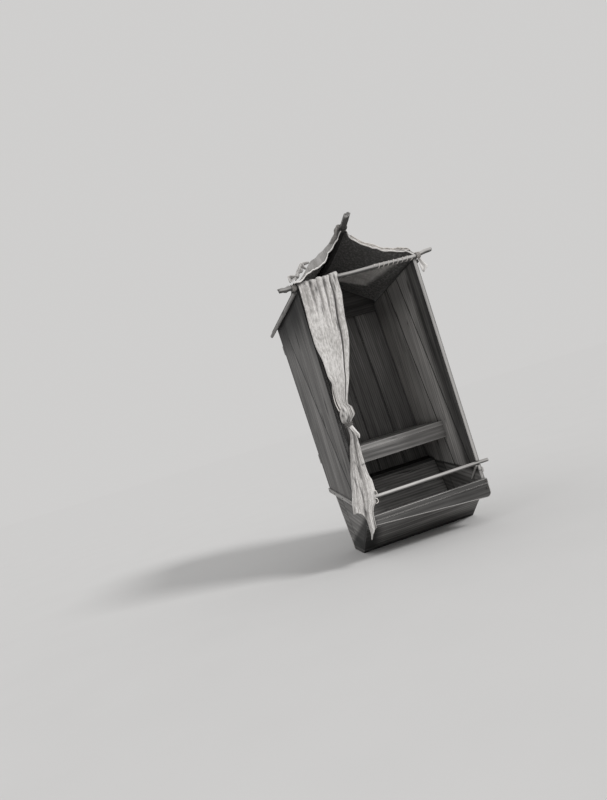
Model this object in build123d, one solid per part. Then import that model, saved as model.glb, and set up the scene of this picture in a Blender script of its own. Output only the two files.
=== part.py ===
from build123d import *
import math
import os

# A one-seat wooden carrying chair: an upright plank box, open in front, on a hopper-shaped
# foot box, with a cloth roof hung over poles. Millimetres. X runs to the right, Y to the back
# and Z up. The origin is the middle of the flat base, on the floor.

# Box
width = 596.0  # outside of the side panels
plank = 18.0  # side planks
back_plank = 14.0  # back boards, nailed over the back edges of the side planks
depth_foot = 606.0  # front edges to the outside of the back, at the foot strips
depth_eave = 722.0  # the same at the eaves, since the back leans
eave_front = 1277.0  # top of the side panels at the front
eave_back = 1234.0
strip_front = 240.0  # lower edge of the side panels at the front, where the strips run
strip_back = 306.0
plank_gap = 0.8  # open joint between neighbouring planks

# Foot box under the side panels
base_setback = 264.0  # flat base behind the front edges
base_depth = 164.0
base_board = 18.0
foot_lift = 144.0  # underside of the flat toe board behind the front board
foot_board = 16.0
toe_depth = 50.0  # the sloping foot board starts behind the toe board
tray_back = 520.0  # where the foot box's back board meets the strips, behind the front edges
tray_board = 14.0
cheek_rear = 118.0  # width of the rear plank of each cheek, along the foot box's back
floor_board = 16.0  # sloping floor between the foot box and the back

# Front board, cut slanting along its lower edge, and strips
front_board_top = 200.0
front_board_left = 160.0  # lower edge at the left and the right end
front_board_right = 113.0
front_board_thick = 18.0
front_board_over = 2.0  # past each side panel
front_board_step = 3.0  # the lower face is set back from the upper band
front_board_band = 22.0
front_board_corner = 22.0
strip_height = 22.0
strip_thick = 8.0

# Seat
seat_height = 500.0  # top of the seat boards
seat_board = 20.0
seat_depth = 372.0  # from the back boards to the seat's front edge
seat_count = 3
cleat = 30.0  # square side cleats under the seat
rail_height = 62.0
rail_thick = 18.0

# Poles
front_pole_r = 10.0
front_pole_rise = 9.5  # axis above the panels' top corners
front_pole_proud = 2.0  # axis in front of the panels' front edges
front_pole_past = 82.0  # beyond each side panel
eave_pole_r = 9.0
eave_pole_start = 16.0  # behind the front edges
eave_pole_past = 80.0  # beyond the back
eave_splay = 16.0  # the eave poles lie further out at the back
ridge_pole_r = 15.0
ridge_pole_out = 92.0  # tip in front of the front edges
ridge_pole_past = 55.0  # beyond the back
ridge_tip_rise = 248.0  # the bowed ridge pole's axis above the eaves: its tip,
ridge_front_rise = 228.0  # over the front edges,
ridge_end_rise = 215.0  # and its back end, above the back of the eaves
pole_bevel = 3.0  # at the cut ends

# Loose foot bar in notches of the front edges
bar_r = 8.5
bar_height = 276.0
bar_inset = 9.0  # axis behind the front edges
bar_past = 45.0  # beyond each side panel
bar_clear = 0.4  # around the bar in its notches
bar_bevel = 1.0
brace_wide = 9.0
brace_thick = 7.0
brace_run = 92.0  # foot of the brace behind its head

# Back framing
batten_height = 52.0
batten_thick = 20.0
batten_low = 150.0  # lower batten above the foot of the back
batten_high = 96.0  # upper batten's top below the eaves
post_width = 44.0
inner_rail_height = 44.0
inner_rail_thick = 16.0
rope_hole_r = 9.0
rope_spread_upper = 50.0  # shoulder straps start close together and end wide apart
rope_spread_lower = 200.0

# Cloth
cloth = 4.0  # thickness of the plain roof solid
roof_overhang = 45.0  # hem in front of the front edges at the eaves
roof_setback = 26.0  # and behind them over the ridge pole
roof_past = 16.0  # beyond the back
roof_side = 2.0  # past the eave poles
front_sag = 32.0  # of each slope's hem in front
back_sag = 2.0
wrap_steps = 3  # flats of each half of the cloth round the ridge pole
slope_steps = 6  # flats down each slope
roof_sections = 5  # from front to back
curtain_thick = 16.0
tie_height = 24.0
tie_thick = 2.5

seat_gap = 0.3  # between a piece and what it rests on or passes through
soft_gap = 0.6  # between cloth and wood

# Seams of the side planks: distance behind the front edges at the eave and at the strip
left_seams = [(540.0, 100.0)]
right_seams = [(265.0, 60.0), (440.0, 250.0)]

front = -(base_setback + base_depth / 2)  # Y of the panels' front edges
base_front = front + base_setback
base_back = base_front + base_depth
half = width / 2
inner = half - plank  # X of the side panels' inner faces


def cross(first, second):
    """The point where two lines of the YZ plane meet, each given by two points."""
    (ay, az), (by, bz) = first
    (cy, cz), (dy, dz) = second
    turn = (ay - by) * (cz - dz) - (az - bz) * (cy - dy)
    a = ay * bz - az * by
    c = cy * dz - cz * dy
    return ((a * (cy - dy) - (ay - by) * c) / turn, (a * (cz - dz) - (az - bz) * c) / turn)


def shifted(line, distance):
    """A line of the YZ plane moved to its left, seen along its own direction."""
    (ay, az), (by, bz) = line
    length = math.hypot(by - ay, bz - az)
    dy = -(bz - az) / length * distance
    dz = (by - ay) / length * distance
    return ((ay + dy, az + dz), (by + dy, bz + dz))


def level(z):
    return ((0.0, z), (1.0, z))


def upright(y):
    return ((y, 0.0), (y, 1.0))


front_line = upright(front)
strip_line = ((front, strip_front), (front + depth_foot, strip_back))
eave_line = ((front, eave_front), (front + depth_eave, eave_back))
back_outer = ((front + depth_foot, strip_back), (front + depth_eave, eave_back))
back_inner = shifted(back_outer, back_plank)
toe_back = upright(front + toe_depth)
toe_under = level(foot_lift)
toe_top = level(foot_lift + foot_board)
foot_outer = ((front + toe_depth, foot_lift), (base_front, 0.0))
foot_inner = shifted(foot_outer, foot_board)
tray_top = cross(strip_line, upright(front + tray_back))
tray_outer = ((base_back, 0.0), tray_top)
tray_inner = shifted(tray_outer, tray_board)
cheek_seam = shifted(tray_outer, cheek_rear)
base_top = level(base_board)


def along_x(points, x_from, x_to):
    """A board whose outline lies in the YZ plane, from one X to another."""
    outline = Plane.YZ * make_face(Polyline(*points, close=True))
    return Pos(x_from, 0, 0) * extrude(outline, x_to - x_from)


def pole(start, end, radius, bevel):
    """A straight round pole between two points, with its rims bevelled."""
    axis = Vector(*end) - Vector(*start)
    rod = extrude(Plane(origin=start, z_dir=axis) * Circle(radius), axis.length)
    return chamfer(rod.edges().filter_by(GeomType.CIRCLE), bevel)


# The back boards' own plane: local X to the right, local Y up the wall, local Z inwards
lean = math.atan2(depth_eave - depth_foot, eave_back - strip_back)
wall = Plane(
    origin=(0, front + depth_foot, strip_back),
    x_dir=(1, 0, 0),
    z_dir=(0, -math.cos(lean), math.sin(lean)),
)
wall_height = (eave_back - strip_back) / math.cos(lean)


def on_wall(points, depth_from, depth_to):
    """A board with its outline on the back wall, between two depths measured inwards."""
    outline = make_face(Polyline(*points, close=True))
    board = extrude(outline, depth_to - depth_from)
    return wall * (Pos(0, 0, depth_from) * board)


def rope_hole(x, up):
    """A hole bored square through the back wall and its batten."""
    return wall * (Pos(x, up, 0) * Cylinder(rope_hole_r, 4 * (batten_thick + back_plank)))


# Side panels
bar_y = front + bar_inset
pole_y = front - front_pole_proud
pole_z = eave_front + front_pole_rise


def front_cuts():
    """The foot bar's notch, open to the front, and the seat of the front pole."""
    notch_r = bar_r + bar_clear
    notch = extrude(Plane.YZ * (Pos(bar_y, bar_height) * Circle(notch_r)), width, both=True)
    mouth = Pos(0, front, bar_height) * Box(2 * width, 2 * bar_inset, 2 * notch_r)
    seat = extrude(
        Plane.YZ * (Pos(pole_y, pole_z) * Circle(front_pole_r + seat_gap)), width, both=True
    )
    return notch + mouth + seat


def side_planks(seams, x_from, x_to):
    """One side panel, as its planks from front to back."""
    lines = [front_line]
    for at_eave, at_strip in seams:
        top = cross(eave_line, upright(front + at_eave))
        foot = cross(strip_line, upright(front + at_strip))
        lines.append((foot, top))
    lines.append(back_inner)
    planks = []
    for i in range(len(lines) - 1):
        ahead = shifted(lines[i], -plank_gap / 2) if i else lines[i]
        behind = lines[i + 1]
        if i + 2 < len(lines):
            behind = shifted(behind, plank_gap / 2)
        corners = [
            cross(ahead, strip_line),
            cross(behind, strip_line),
            cross(behind, eave_line),
            cross(ahead, eave_line),
        ]
        planks.append(along_x(corners, x_from, x_to))
    planks[0] = planks[0] - front_cuts()
    return planks


def strip(x_from, x_to):
    """The batten nailed outside over the joint between a side panel and the foot box."""
    low = shifted(strip_line, -strip_height / 2)
    high = shifted(strip_line, strip_height / 2)
    corners = [
        cross(low, front_line),
        cross(low, back_outer),
        cross(high, back_outer),
        cross(high, front_line),
    ]
    return along_x(corners, x_from, x_to)


# Foot box
def cheeks(x_from, x_to):
    """The side of the foot box, under a side panel: its front and its rear plank."""
    ahead = shifted(cheek_seam, plank_gap / 2)
    behind = shifted(cheek_seam, -plank_gap / 2)
    fore = [
        cross(toe_top, front_line),
        cross(toe_top, foot_inner),
        cross(foot_inner, base_top),
        cross(ahead, base_top),
        cross(ahead, strip_line),
        cross(strip_line, front_line),
    ]
    rear = [
        cross(behind, base_top),
        cross(tray_inner, base_top),
        cross(tray_inner, strip_line),
        cross(behind, strip_line),
    ]
    return along_x(fore, x_from, x_to), along_x(rear, x_from, x_to)


def foot_boards():
    """The flat toe board, the sloping foot board, the flat base and the back board."""
    toe = [
        cross(toe_under, front_line),
        cross(toe_under, toe_back),
        cross(toe_top, toe_back),
        cross(toe_top, front_line),
    ]
    foot = [
        cross(foot_outer, toe_back),
        cross(foot_outer, base_top),
        cross(foot_inner, base_top),
        cross(foot_inner, toe_top),
        cross(toe_top, toe_back),
    ]
    base = [
        (base_front, 0.0),
        (base_back, 0.0),
        cross(tray_outer, base_top),
        cross(foot_outer, base_top),
    ]
    tray = [
        cross(tray_outer, base_top),
        tray_top,
        cross(tray_inner, strip_line),
        cross(tray_inner, base_top),
    ]
    return {
        "toe_board": along_x(toe, -half, half),
        "foot_board": along_x(foot, -half, half),
        "base_board": along_x(base, -half, half),
        "foot_box_back": along_x(tray, -half, half),
    }


def rear_floor():
    """The floor behind the foot box, up to the back boards, between the side panels."""
    top = shifted(strip_line, floor_board)
    ahead = upright(cross(tray_inner, strip_line)[0])
    corners = [
        cross(strip_line, ahead),
        cross(strip_line, back_inner),
        cross(top, back_inner),
        cross(top, ahead),
    ]
    return along_x(corners, -inner, inner)


def facing_front(y, points):
    """An outline in X and Z, on an upright plane that looks to the front."""
    outline = make_face(Polyline(*points, close=True))
    return Plane(origin=(0, y, 0), x_dir=(1, 0, 0), z_dir=(0, -1, 0)) * outline


def front_board():
    """The board across the front edges: upper band proud, lower edge slanting, corners round."""
    reach = half + front_board_over
    corners = [
        (-reach, front_board_left),
        (reach, front_board_right),
        (reach, front_board_top),
        (-reach, front_board_top),
    ]
    board = extrude(facing_front(front, corners), front_board_thick)
    lower = board.edges().filter_by(Axis.Y).sort_by(Axis.Z)[:2]
    board = fillet(lower, front_board_corner)
    face = front - front_board_thick
    under_band = front_board_top - front_board_band
    step = [
        (face - front_board_step, under_band + front_board_step),
        (face + front_board_step, under_band - front_board_step),
        (face + front_board_step, 0.0),
        (face - front_board_step, 0.0),
    ]
    return board - along_x(step, -width, width)


# Seat
def seat_parts():
    """Seat boards across the box on two side cleats, with a rail under the front edge."""
    top = level(seat_height)
    under = level(seat_height - seat_board)
    back_y = cross(back_inner, under)[0] - seat_gap
    front_y = back_y - seat_depth
    pitch = (seat_depth + plank_gap) / seat_count
    span = inner - seat_gap
    parts = {}
    for i in range(seat_count):
        y = front_y + i * pitch
        corners = [
            cross(under, upright(y)),
            cross(under, upright(y + pitch - plank_gap)),
            cross(top, upright(y + pitch - plank_gap)),
            cross(top, upright(y)),
        ]
        parts[f"seat_board_{i + 1}"] = along_x(corners, -span, span)
    cleat_foot = level(seat_height - seat_board - cleat)
    behind_rail = upright(front_y + rail_thick + seat_gap)
    corners = [
        cross(cleat_foot, behind_rail),
        cross(cleat_foot, back_inner),
        cross(under, back_inner),
        cross(under, behind_rail),
    ]
    parts["seat_cleat_left"] = along_x(corners, -inner, -inner + cleat)
    parts["seat_cleat_right"] = along_x(corners, inner - cleat, inner)
    rail_foot = level(seat_height - seat_board - rail_height)
    corners = [
        cross(rail_foot, upright(front_y)),
        cross(rail_foot, upright(front_y + rail_thick)),
        cross(under, upright(front_y + rail_thick)),
        cross(under, upright(front_y)),
    ]
    parts["seat_rail"] = along_x(corners, -inner, inner)
    return parts


# Back
batten_top = wall_height - batten_high
battens = {  # middle of each batten up the wall, and its rope holes' distance from the middle
    "back_batten_lower": (batten_low + batten_height / 2, rope_spread_lower),
    "back_batten_upper": (batten_top - batten_height / 2, rope_spread_upper),
}
back_boards = 4


def on_wall_box(x_from, x_to, up_from, up_to, depth_from, depth_to):
    corners = [(x_from, up_from), (x_to, up_from), (x_to, up_to), (x_from, up_to)]
    return on_wall(corners, depth_from, depth_to)


def back_parts():
    """Upright back boards, their battens outside and the rail along their inner top."""
    parts = {}
    holes = [
        rope_hole(side * spread, up)
        for up, spread in battens.values()
        for side in (-1, 1)
    ]
    pitch = (width + plank_gap) / back_boards
    for i in range(back_boards):
        x = -half + i * pitch
        board = on_wall_box(x, x + pitch - plank_gap, 0, wall_height, 0, back_plank)
        for hole in holes:
            board = board - hole
        parts[f"back_board_{i + 1}"] = board
    for name, (up, _) in battens.items():
        batten = on_wall_box(
            -half, half, up - batten_height / 2, up + batten_height / 2, -batten_thick, 0
        )
        for hole in holes:
            batten = batten - hole
        parts[name] = batten
    parts["back_inner_rail"] = on_wall_box(
        -inner + seat_gap,
        inner - seat_gap,
        wall_height - inner_rail_height,
        wall_height,
        back_plank,
        back_plank + inner_rail_thick,
    )
    return parts


# Ridge pole, bowed as a grown stick is: one arc through its tip, the front plane and its end
ridge_y_tip = front - ridge_pole_out
ridge_y_end = front + depth_eave + ridge_pole_past


def circle_through(p, q, r):
    """Centre and radius of the circle through three points of the YZ plane."""
    (ay, az), (by, bz), (cy, cz) = p, q, r
    turn = 2 * (ay * (bz - cz) + by * (cz - az) + cy * (az - bz))
    a, b, c = ay * ay + az * az, by * by + bz * bz, cy * cy + cz * cz
    y = (a * (bz - cz) + b * (cz - az) + c * (az - bz)) / turn
    z = (a * (cy - by) + b * (ay - cy) + c * (by - ay)) / turn
    return y, z, math.hypot(ay - y, az - z)


ridge_front = eave_front + ridge_front_rise
ridge_points = [
    (ridge_y_tip, eave_front + ridge_tip_rise),
    (front, ridge_front),
    (ridge_y_end, eave_back + ridge_end_rise),
]
bow_y, bow_z, bow_r = circle_through(*ridge_points)


def ridge_z(y):
    """Height of the ridge pole's axis; the bow's centre is above it."""
    return bow_z - math.sqrt(bow_r * bow_r - (y - bow_y) ** 2)


def ridge_rod(radius):
    path = Plane.YZ * ThreePointArc(*ridge_points)
    return sweep(Plane(origin=path @ 0, z_dir=path % 0) * Circle(radius), path=path)


def ridge_pole():
    rod = ridge_rod(ridge_pole_r)
    return chamfer(rod.edges().filter_by(GeomType.CIRCLE), pole_bevel)


# Roof cloth
roof_y_front = front - roof_overhang
roof_y_ridge = front + roof_setback
roof_y_back = front + depth_eave + roof_past
roof_eaves = (
    (pole_y + front_pole_r, pole_z + front_pole_r + soft_gap),
    (front + depth_eave, eave_back + soft_gap),
)


def roof_half(y):
    """Half the roof's width at one depth, over the splayed eave poles."""
    return half + 2 * eave_pole_r + roof_side + eave_splay * (y - front) / depth_eave


def slope_points(y, sag, radius, lift):
    """Half of a roof line: round the ridge pole from its top, then sagging to the eave."""
    z_pole = ridge_z(y)
    z_eave = cross(roof_eaves, upright(y))[1]
    run = roof_half(y)
    leave = math.atan2(z_pole - z_eave + 4 * sag, run)
    points = []
    for i in range(wrap_steps + 1):
        angle = leave * i / wrap_steps
        points.append((radius * math.sin(angle), z_pole + radius * math.cos(angle)))
    x, z = points[-1]
    for i in range(1, slope_steps + 1):
        t = i / slope_steps
        straight = z + (z_eave + lift - z) * t
        points.append((x + (run - x) * t, straight - 4 * sag * t * (1 - t)))
    return points


def mirrored(points):
    return [(-x, z) for x, z in points]


def roof_sag(y):
    part = (y - roof_y_front) / (roof_y_back - roof_y_front)
    return front_sag + (back_sag - front_sag) * part


def roof_section(y):
    """The cloth's section across the box at one depth, wrapped over the ridge pole."""
    sag = roof_sag(y)
    under_r = ridge_pole_r + soft_gap
    under = slope_points(y, sag, under_r, 0.0)
    outer = slope_points(y, sag, under_r + cloth, cloth)
    outline = mirrored(outer)[::-1] + outer[1:] + under[::-1] + mirrored(under)[1:]
    return facing_front(y, outline)


def canopy():
    """Cloth roof: nearly straight over the gable board, sagging at the slanting front hem."""
    start = roof_y_front - cloth
    pitch = (roof_y_back - start) / (roof_sections - 1)
    sections = [roof_section(start + pitch * i) for i in range(roof_sections)]
    reach = 2 * half
    slant = (roof_y_ridge - roof_y_front) / roof_half(roof_y_front)
    corner_y = roof_y_ridge - slant * reach
    hem = [
        (-reach, corner_y),
        (0.0, roof_y_ridge),
        (reach, corner_y),
        (reach, corner_y - reach),
        (-reach, corner_y - reach),
    ]
    ahead = extrude(make_face(Polyline(*hem, close=True)), 2 * eave_front)
    return loft(sections, ruled=True) - ahead


def wall_up(z):
    """Distance up the back wall of a height, on its outer face."""
    return (z - strip_back) / math.cos(lean)


def gable_parts():
    """The gable board over the back boards, notched for the ridge pole, and its post."""
    y = front + depth_eave + (ridge_front - eave_back) * math.tan(lean)
    z_pole = ridge_z(y)
    line = slope_points(y, back_sag, ridge_pole_r, 0.0)
    start, end = line[wrap_steps], line[-1]
    slope = (start[1] - end[1]) / (end[0] - start[0])
    inner_face = cross(back_inner, eave_line)[0]
    under = roof_sag(inner_face) + 2 * soft_gap

    def top(x):
        return start[1] - slope * (x - start[0]) - under

    up_pole = wall_up(z_pole)
    foot_up = wall_height
    shoulder = (start[1] - under - z_pole) / slope + start[0]
    corners = [
        (-half, foot_up),
        (half, foot_up),
        (half, wall_up(top(half))),
        (shoulder, up_pole),
        (-shoulder, up_pole),
        (-half, wall_up(top(half))),
    ]
    notch = ridge_rod(ridge_pole_r + seat_gap)
    board = on_wall(corners, 0, back_plank) - notch
    post = on_wall_box(-post_width / 2, post_width / 2, batten_top, up_pole, -batten_thick, 0)
    return {"gable_board": board, "gable_post": post - notch}


# Poles at the eaves and across the front
def front_pole():
    reach = half + front_pole_past
    return pole((-reach, pole_y, pole_z), (reach, pole_y, pole_z), front_pole_r, pole_bevel)


def eave_pole(side):
    """A pole beside the top of a side panel, touching it in front and splayed at the back."""
    low = shifted(eave_line, -eave_pole_r - seat_gap)
    start = cross(low, upright(front + eave_pole_start))
    end = cross(low, upright(front + depth_eave + eave_pole_past))
    x = half + eave_pole_r + seat_gap
    return pole((side * x, *start), (side * (x + eave_splay), *end), eave_pole_r, pole_bevel)


# Loose foot bar and the small braces under its ends
def foot_bar():
    reach = half + bar_past
    return pole((-reach, bar_y, bar_height), (reach, bar_y, bar_height), bar_r, bar_bevel)


def bar_brace(x_from, x_to):
    head = level(bar_height - bar_r - bar_clear)
    foot = level(front_board_top)
    slope = ((bar_y + brace_run, front_board_top), cross(head, upright(bar_y)))
    under = shifted(slope, brace_wide)
    corners = [cross(slope, head), cross(under, head), cross(under, foot), cross(slope, foot)]
    return along_x(corners, x_from, x_to)


# Curtain: the gathered upper cloth, tied in at the neck, and the loose tail below it. Rows are
# the height and the left and right edges, as the cloth hangs in front of the left side panel.
neck = (690.0, -262.0, -232.0)
curtain_rows = [
    (1290.0, -302.0, -104.0),
    (1124.0, -306.0, -118.0),
    (986.0, -302.0, -148.0),
    (819.0, -288.0, -202.0),
    (740.0, -272.0, -231.0),
    neck,
    (640.0, -262.0, -230.0),
    (568.0, -280.0, -228.0),
    (427.0, -308.0, -231.0),
    (333.0, -332.0, -228.0),
    (264.0, -352.0, -240.0),
    (235.0, -356.0, -250.0),
    (204.0, -305.0, -268.0),
    (141.0, -306.0, -288.0),
    (106.0, -314.0, -308.0),
]
curtain_back = front - front_board_thick - soft_gap
pole_face = pole_y - front_pole_r - soft_gap


def curtain():
    """The hanging cloth, with a casing along its head that reaches back to the front pole."""
    left = [(x, z) for z, x, _ in curtain_rows]
    right = [(x, z) for z, _, x in reversed(curtain_rows)]
    cloth_sheet = extrude(facing_front(curtain_back, left + right), curtain_thick)
    top, head_left, head_right = curtain_rows[0]
    low = pole_z - front_pole_r / 2
    casing = [(curtain_back, top), (pole_face, top), (pole_face, low), (curtain_back, low)]
    return cloth_sheet + along_x(casing, head_left, head_right)


def curtain_tie():
    """A band round the curtain's neck with a tab nailed to the left panel's front edge."""
    z, x_left, x_right = neck
    z = z - tie_height / 2 - tie_thick
    centre_x = (x_left + x_right) / 2
    centre_y = curtain_back - curtain_thick / 2
    hole_x = x_right - x_left + 2 * tie_thick
    hole_y = curtain_thick + 2 * soft_gap
    band = Box(hole_x + 2 * tie_thick, hole_y + 2 * tie_thick, tie_height)
    band = Pos(centre_x, centre_y, z) * (band - Box(hole_x, hole_y, 2 * tie_height))
    tab_x = -half + plank / 3
    tab_y = centre_y + hole_y / 2
    tab = Pos((tab_x + centre_x) / 2, (tab_y + front - seat_gap) / 2, z) * Box(
        centre_x - tab_x, front - seat_gap - tab_y, tie_height / 2
    )
    return band + tab


def all_parts():
    parts = {}
    for side, seams, x_from in (
        ("left", left_seams, -half),
        ("right", right_seams, inner),
    ):
        for i, plank_solid in enumerate(side_planks(seams, x_from, x_from + plank)):
            parts[f"side_plank_{side}_{i + 1}"] = plank_solid
        fore, rear = cheeks(x_from, x_from + plank)
        parts[f"foot_cheek_{side}"] = fore
        parts[f"foot_cheek_{side}_rear"] = rear
    parts["foot_strip_left"] = strip(-half - strip_thick, -half)
    parts["foot_strip_right"] = strip(half, half + strip_thick)
    parts.update(foot_boards())
    parts["rear_floor"] = rear_floor()
    parts["front_board"] = front_board()
    parts.update(seat_parts())
    parts.update(back_parts())
    parts.update(gable_parts())
    parts["front_pole"] = front_pole()
    parts["eave_pole_left"] = eave_pole(-1)
    parts["eave_pole_right"] = eave_pole(1)
    parts["ridge_pole"] = ridge_pole()
    parts["canopy_cloth"] = canopy()
    parts["foot_bar"] = foot_bar()
    parts["bar_brace_left"] = bar_brace(-inner, -inner + brace_thick)
    parts["bar_brace_right"] = bar_brace(inner - brace_thick, inner)
    parts["curtain"] = curtain()
    parts["curtain_tie"] = curtain_tie()
    return parts


os.makedirs("parts", exist_ok=True)
for name, solid in all_parts().items():
    export_step(solid, f"parts/{name}.step")
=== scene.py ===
from math import cos, exp, hypot, pi, radians, sin, sqrt
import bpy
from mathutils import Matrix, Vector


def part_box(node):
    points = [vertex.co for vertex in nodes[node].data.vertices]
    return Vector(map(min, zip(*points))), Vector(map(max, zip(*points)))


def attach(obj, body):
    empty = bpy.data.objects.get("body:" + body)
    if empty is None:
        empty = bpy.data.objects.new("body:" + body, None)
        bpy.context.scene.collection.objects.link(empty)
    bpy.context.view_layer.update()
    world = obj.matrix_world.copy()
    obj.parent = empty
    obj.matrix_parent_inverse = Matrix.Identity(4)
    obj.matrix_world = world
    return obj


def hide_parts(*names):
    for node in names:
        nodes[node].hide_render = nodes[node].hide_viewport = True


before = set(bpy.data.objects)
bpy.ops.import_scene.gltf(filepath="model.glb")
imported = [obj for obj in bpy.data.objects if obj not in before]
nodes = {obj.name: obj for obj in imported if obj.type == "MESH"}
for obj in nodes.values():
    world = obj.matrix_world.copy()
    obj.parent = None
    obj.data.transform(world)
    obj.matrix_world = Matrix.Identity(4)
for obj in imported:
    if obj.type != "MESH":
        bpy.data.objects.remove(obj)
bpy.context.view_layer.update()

from types import SimpleNamespace

import bpy
import numpy as np
from mathutils import Matrix, Vector, noise

# A one-seat wooden carrying chair: weathered planks and sticks, a sagging cloth roof and a
# gathered curtain tied back on the left. Metres, in the part's frame.

# Photograph
IMAGE = (607, 800)
FOCAL_PX = 650.0
EYE = Vector((-0.990, -3.190, 0.668))
AIM = Vector((-0.3474, 0.0, 0.8005))
ROLL = radians(16.915)  # the camera's right side is below level

# Light
SUN_TOWARDS = Vector((0.62, -0.60, 0.62))
SUN_STRENGTH = 1.9
SUN_ANGLE = radians(14)
SKY_STRENGTH = 0.72
PALE = 0.62  # the backdrop
FLOOR_SHADES = (0.56, 0.58)
FLOOR_HALF = 60.0

UP = (0.0, 0.0, 1.0)
ACROSS = (1.0, 0.0, 0.0)
BACKWARD = (0.0, 1.0, 0.0)


def low(node):
    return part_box(node)[0]


def high(node):
    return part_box(node)[1]


def vertices(node):
    return np.array([v.co for v in nodes[node].data.vertices], float)


def pole_line(node):
    """Both ends of a straight round pole's axis and its radius, from its own solid."""
    points = vertices(node)
    middle = points.mean(0)
    along = np.linalg.svd(points - middle)[2][0]
    along = along * np.sign(along.sum())
    places = (points - middle) @ along
    radius = np.linalg.norm(points - middle - np.outer(places, along), axis=1).max()
    ends = [Vector(middle + along * at) for at in (places.min(), places.max())]
    return ends[0], ends[1], float(radius)


FRONT = low("side_plank_left_1").y
HALF = high("side_plank_right_1").x
INNER = low("side_plank_right_1").x
POLE_START, POLE_END, POLE_R = pole_line("front_pole")
POLE_Y, POLE_Z = POLE_START.y, POLE_START.z
EAVES = {-1: pole_line("eave_pole_left"), 1: pole_line("eave_pole_right")}
RIDGE_R = high("ridge_pole").x
RIDGE = np.polyfit(vertices("ridge_pole")[:, 1], vertices("ridge_pole")[:, 2], 2)
ROOF_BACK = high("canopy_cloth").y

# Small helpers


def ridge_z(y):
    """Height of the bowed ridge pole's axis."""
    return float(np.polyval(RIDGE, y))


def eave_at(side, y):
    """The point of an eave pole's axis at one depth."""
    start, end, _ = EAVES[side]
    return start.lerp(end, (y - start.y) / (end.y - start.y))


def ramp(value, start, end):
    """From 0 to 1 between two values, as an S curve."""
    t = np.clip((np.asarray(value, float) - start) / (end - start), 0.0, 1.0)
    return t * t * (3.0 - 2.0 * t)


def through(table, at, column=1):
    """A smooth line through a table's rows, by its first column, without overshoot."""
    x = np.array([row[0] for row in table], float)
    y = np.array([row[column] for row in table], float)
    if x[0] > x[-1]:
        x, y = x[::-1], y[::-1]
    slope = np.diff(y) / np.diff(x)
    turn = np.zeros(len(x))
    turn[0], turn[-1] = slope[0], slope[-1]
    for i in range(1, len(x) - 1):
        if slope[i - 1] * slope[i] > 0:
            turn[i] = 2 * slope[i - 1] * slope[i] / (slope[i - 1] + slope[i])
    at = np.clip(np.asarray(at, float), x[0], x[-1])
    i = np.clip(np.searchsorted(x, at, side="right") - 1, 0, len(x) - 2)
    h = x[i + 1] - x[i]
    t = (at - x[i]) / h
    return (
        y[i] * (1 + 2 * t) * (1 - t) ** 2
        + h * turn[i] * t * (1 - t) ** 2
        + y[i + 1] * t * t * (3 - 2 * t)
        + h * turn[i + 1] * t * t * (t - 1)
    )


def rough(*at):
    """Smooth noise from -1 to 1 at a point."""
    return noise.noise(Vector(at))


def curve(points, count):
    """Evenly spaced points on a smooth line through a few points."""
    points = [Vector(p) for p in points]
    far = [0.0]
    for a, b in zip(points, points[1:]):
        far.append(far[-1] + (b - a).length)
    at = np.linspace(0.0, far[-1], count)
    columns = [through([(f, p[axis]) for f, p in zip(far, points)], at) for axis in range(3)]
    return [Vector(p) for p in np.stack(columns, axis=1)]


def add_object(name, data):
    """A new object in the scene."""
    new = bpy.data.objects.new(name, data)
    bpy.context.scene.collection.objects.link(new)
    return new


def new_mesh(name, points, faces, smooth=True):
    mesh = bpy.data.meshes.new(name)
    mesh.from_pydata([tuple(p) for p in points], [], faces)
    mesh.validate()
    if smooth:
        mesh.shade_smooth()
    return add_object(name, mesh)


def grid_faces(rows, columns, closed=False, start=0):
    """Faces between rows of points, each row an open line or a closed ring."""
    faces = []
    for i in range(rows - 1):
        for j in range(columns if closed else columns - 1):
            k = (j + 1) % columns
            a, b = start + i * columns + j, start + i * columns + k
            faces.append((a, b, b + columns, a + columns))
    return faces


def blank(rows, columns):
    """Empty grids for a cloth's points and for their places on the flat cut."""
    return np.zeros((rows, columns, 3)), np.zeros((rows, columns, 2))


def mark(piece, name, values):
    """Store a number or a vector at each point of a piece."""
    values = np.array(values, float)
    kind, key = ("FLOAT", "value") if values.ndim == 1 else ("FLOAT_VECTOR", "vector")
    spots = piece.data.attributes.new(name, kind, "POINT")
    spots.data.foreach_set(key, values.reshape(-1))


def spoke(side, third, radius, angle):
    """The way out from a centre, at an angle between two directions."""
    return side * (radius * cos(angle)) + third * (radius * sin(angle))


def end_faces(count, sides):
    """The first and the last ring of a tube's points, as faces."""
    return [tuple(range(sides))[::-1], tuple(range(count - sides, count))]


def new_sheet(name, grids, thickness, material, inner_material=None):
    """A cloth from grids of points and their places on the flat cut, with its two faces.

    Each grid also has marks from 0 to 1: "pale" where a highlight is painted on it, "dark" where
    shade is painted on it, and "inside" where shade is painted on its underside."""
    points, places, faces = [], [], []
    marks = {"pale": [], "dark": [], "inside": []}
    for grid, flat, grid_marks in grids:
        rows, columns = grid.shape[:2]
        faces.extend(grid_faces(rows, columns, start=len(points)))
        points.extend(grid.reshape(-1, 3))
        places.extend(flat.reshape(-1, 2))
        for kind, values in marks.items():
            grid_values = grid_marks.get(kind, np.zeros(1))
            values.extend(np.broadcast_to(grid_values, (rows, columns)).reshape(-1))
    piece = new_mesh(name, points, faces)
    uv = piece.data.uv_layers.new(name="flat")
    for loop in piece.data.loops:
        uv.data[loop.index].uv = places[loop.vertex_index]
    for kind, values in marks.items():
        mark(piece, kind, values)
    solid = piece.modifiers.new("thickness", "SOLIDIFY")
    solid.thickness = thickness
    solid.offset = 0.0
    piece.data.materials.append(material)
    if inner_material is not None:
        piece.data.materials.append(inner_material)
        solid.material_offset = 1
    return piece


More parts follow.
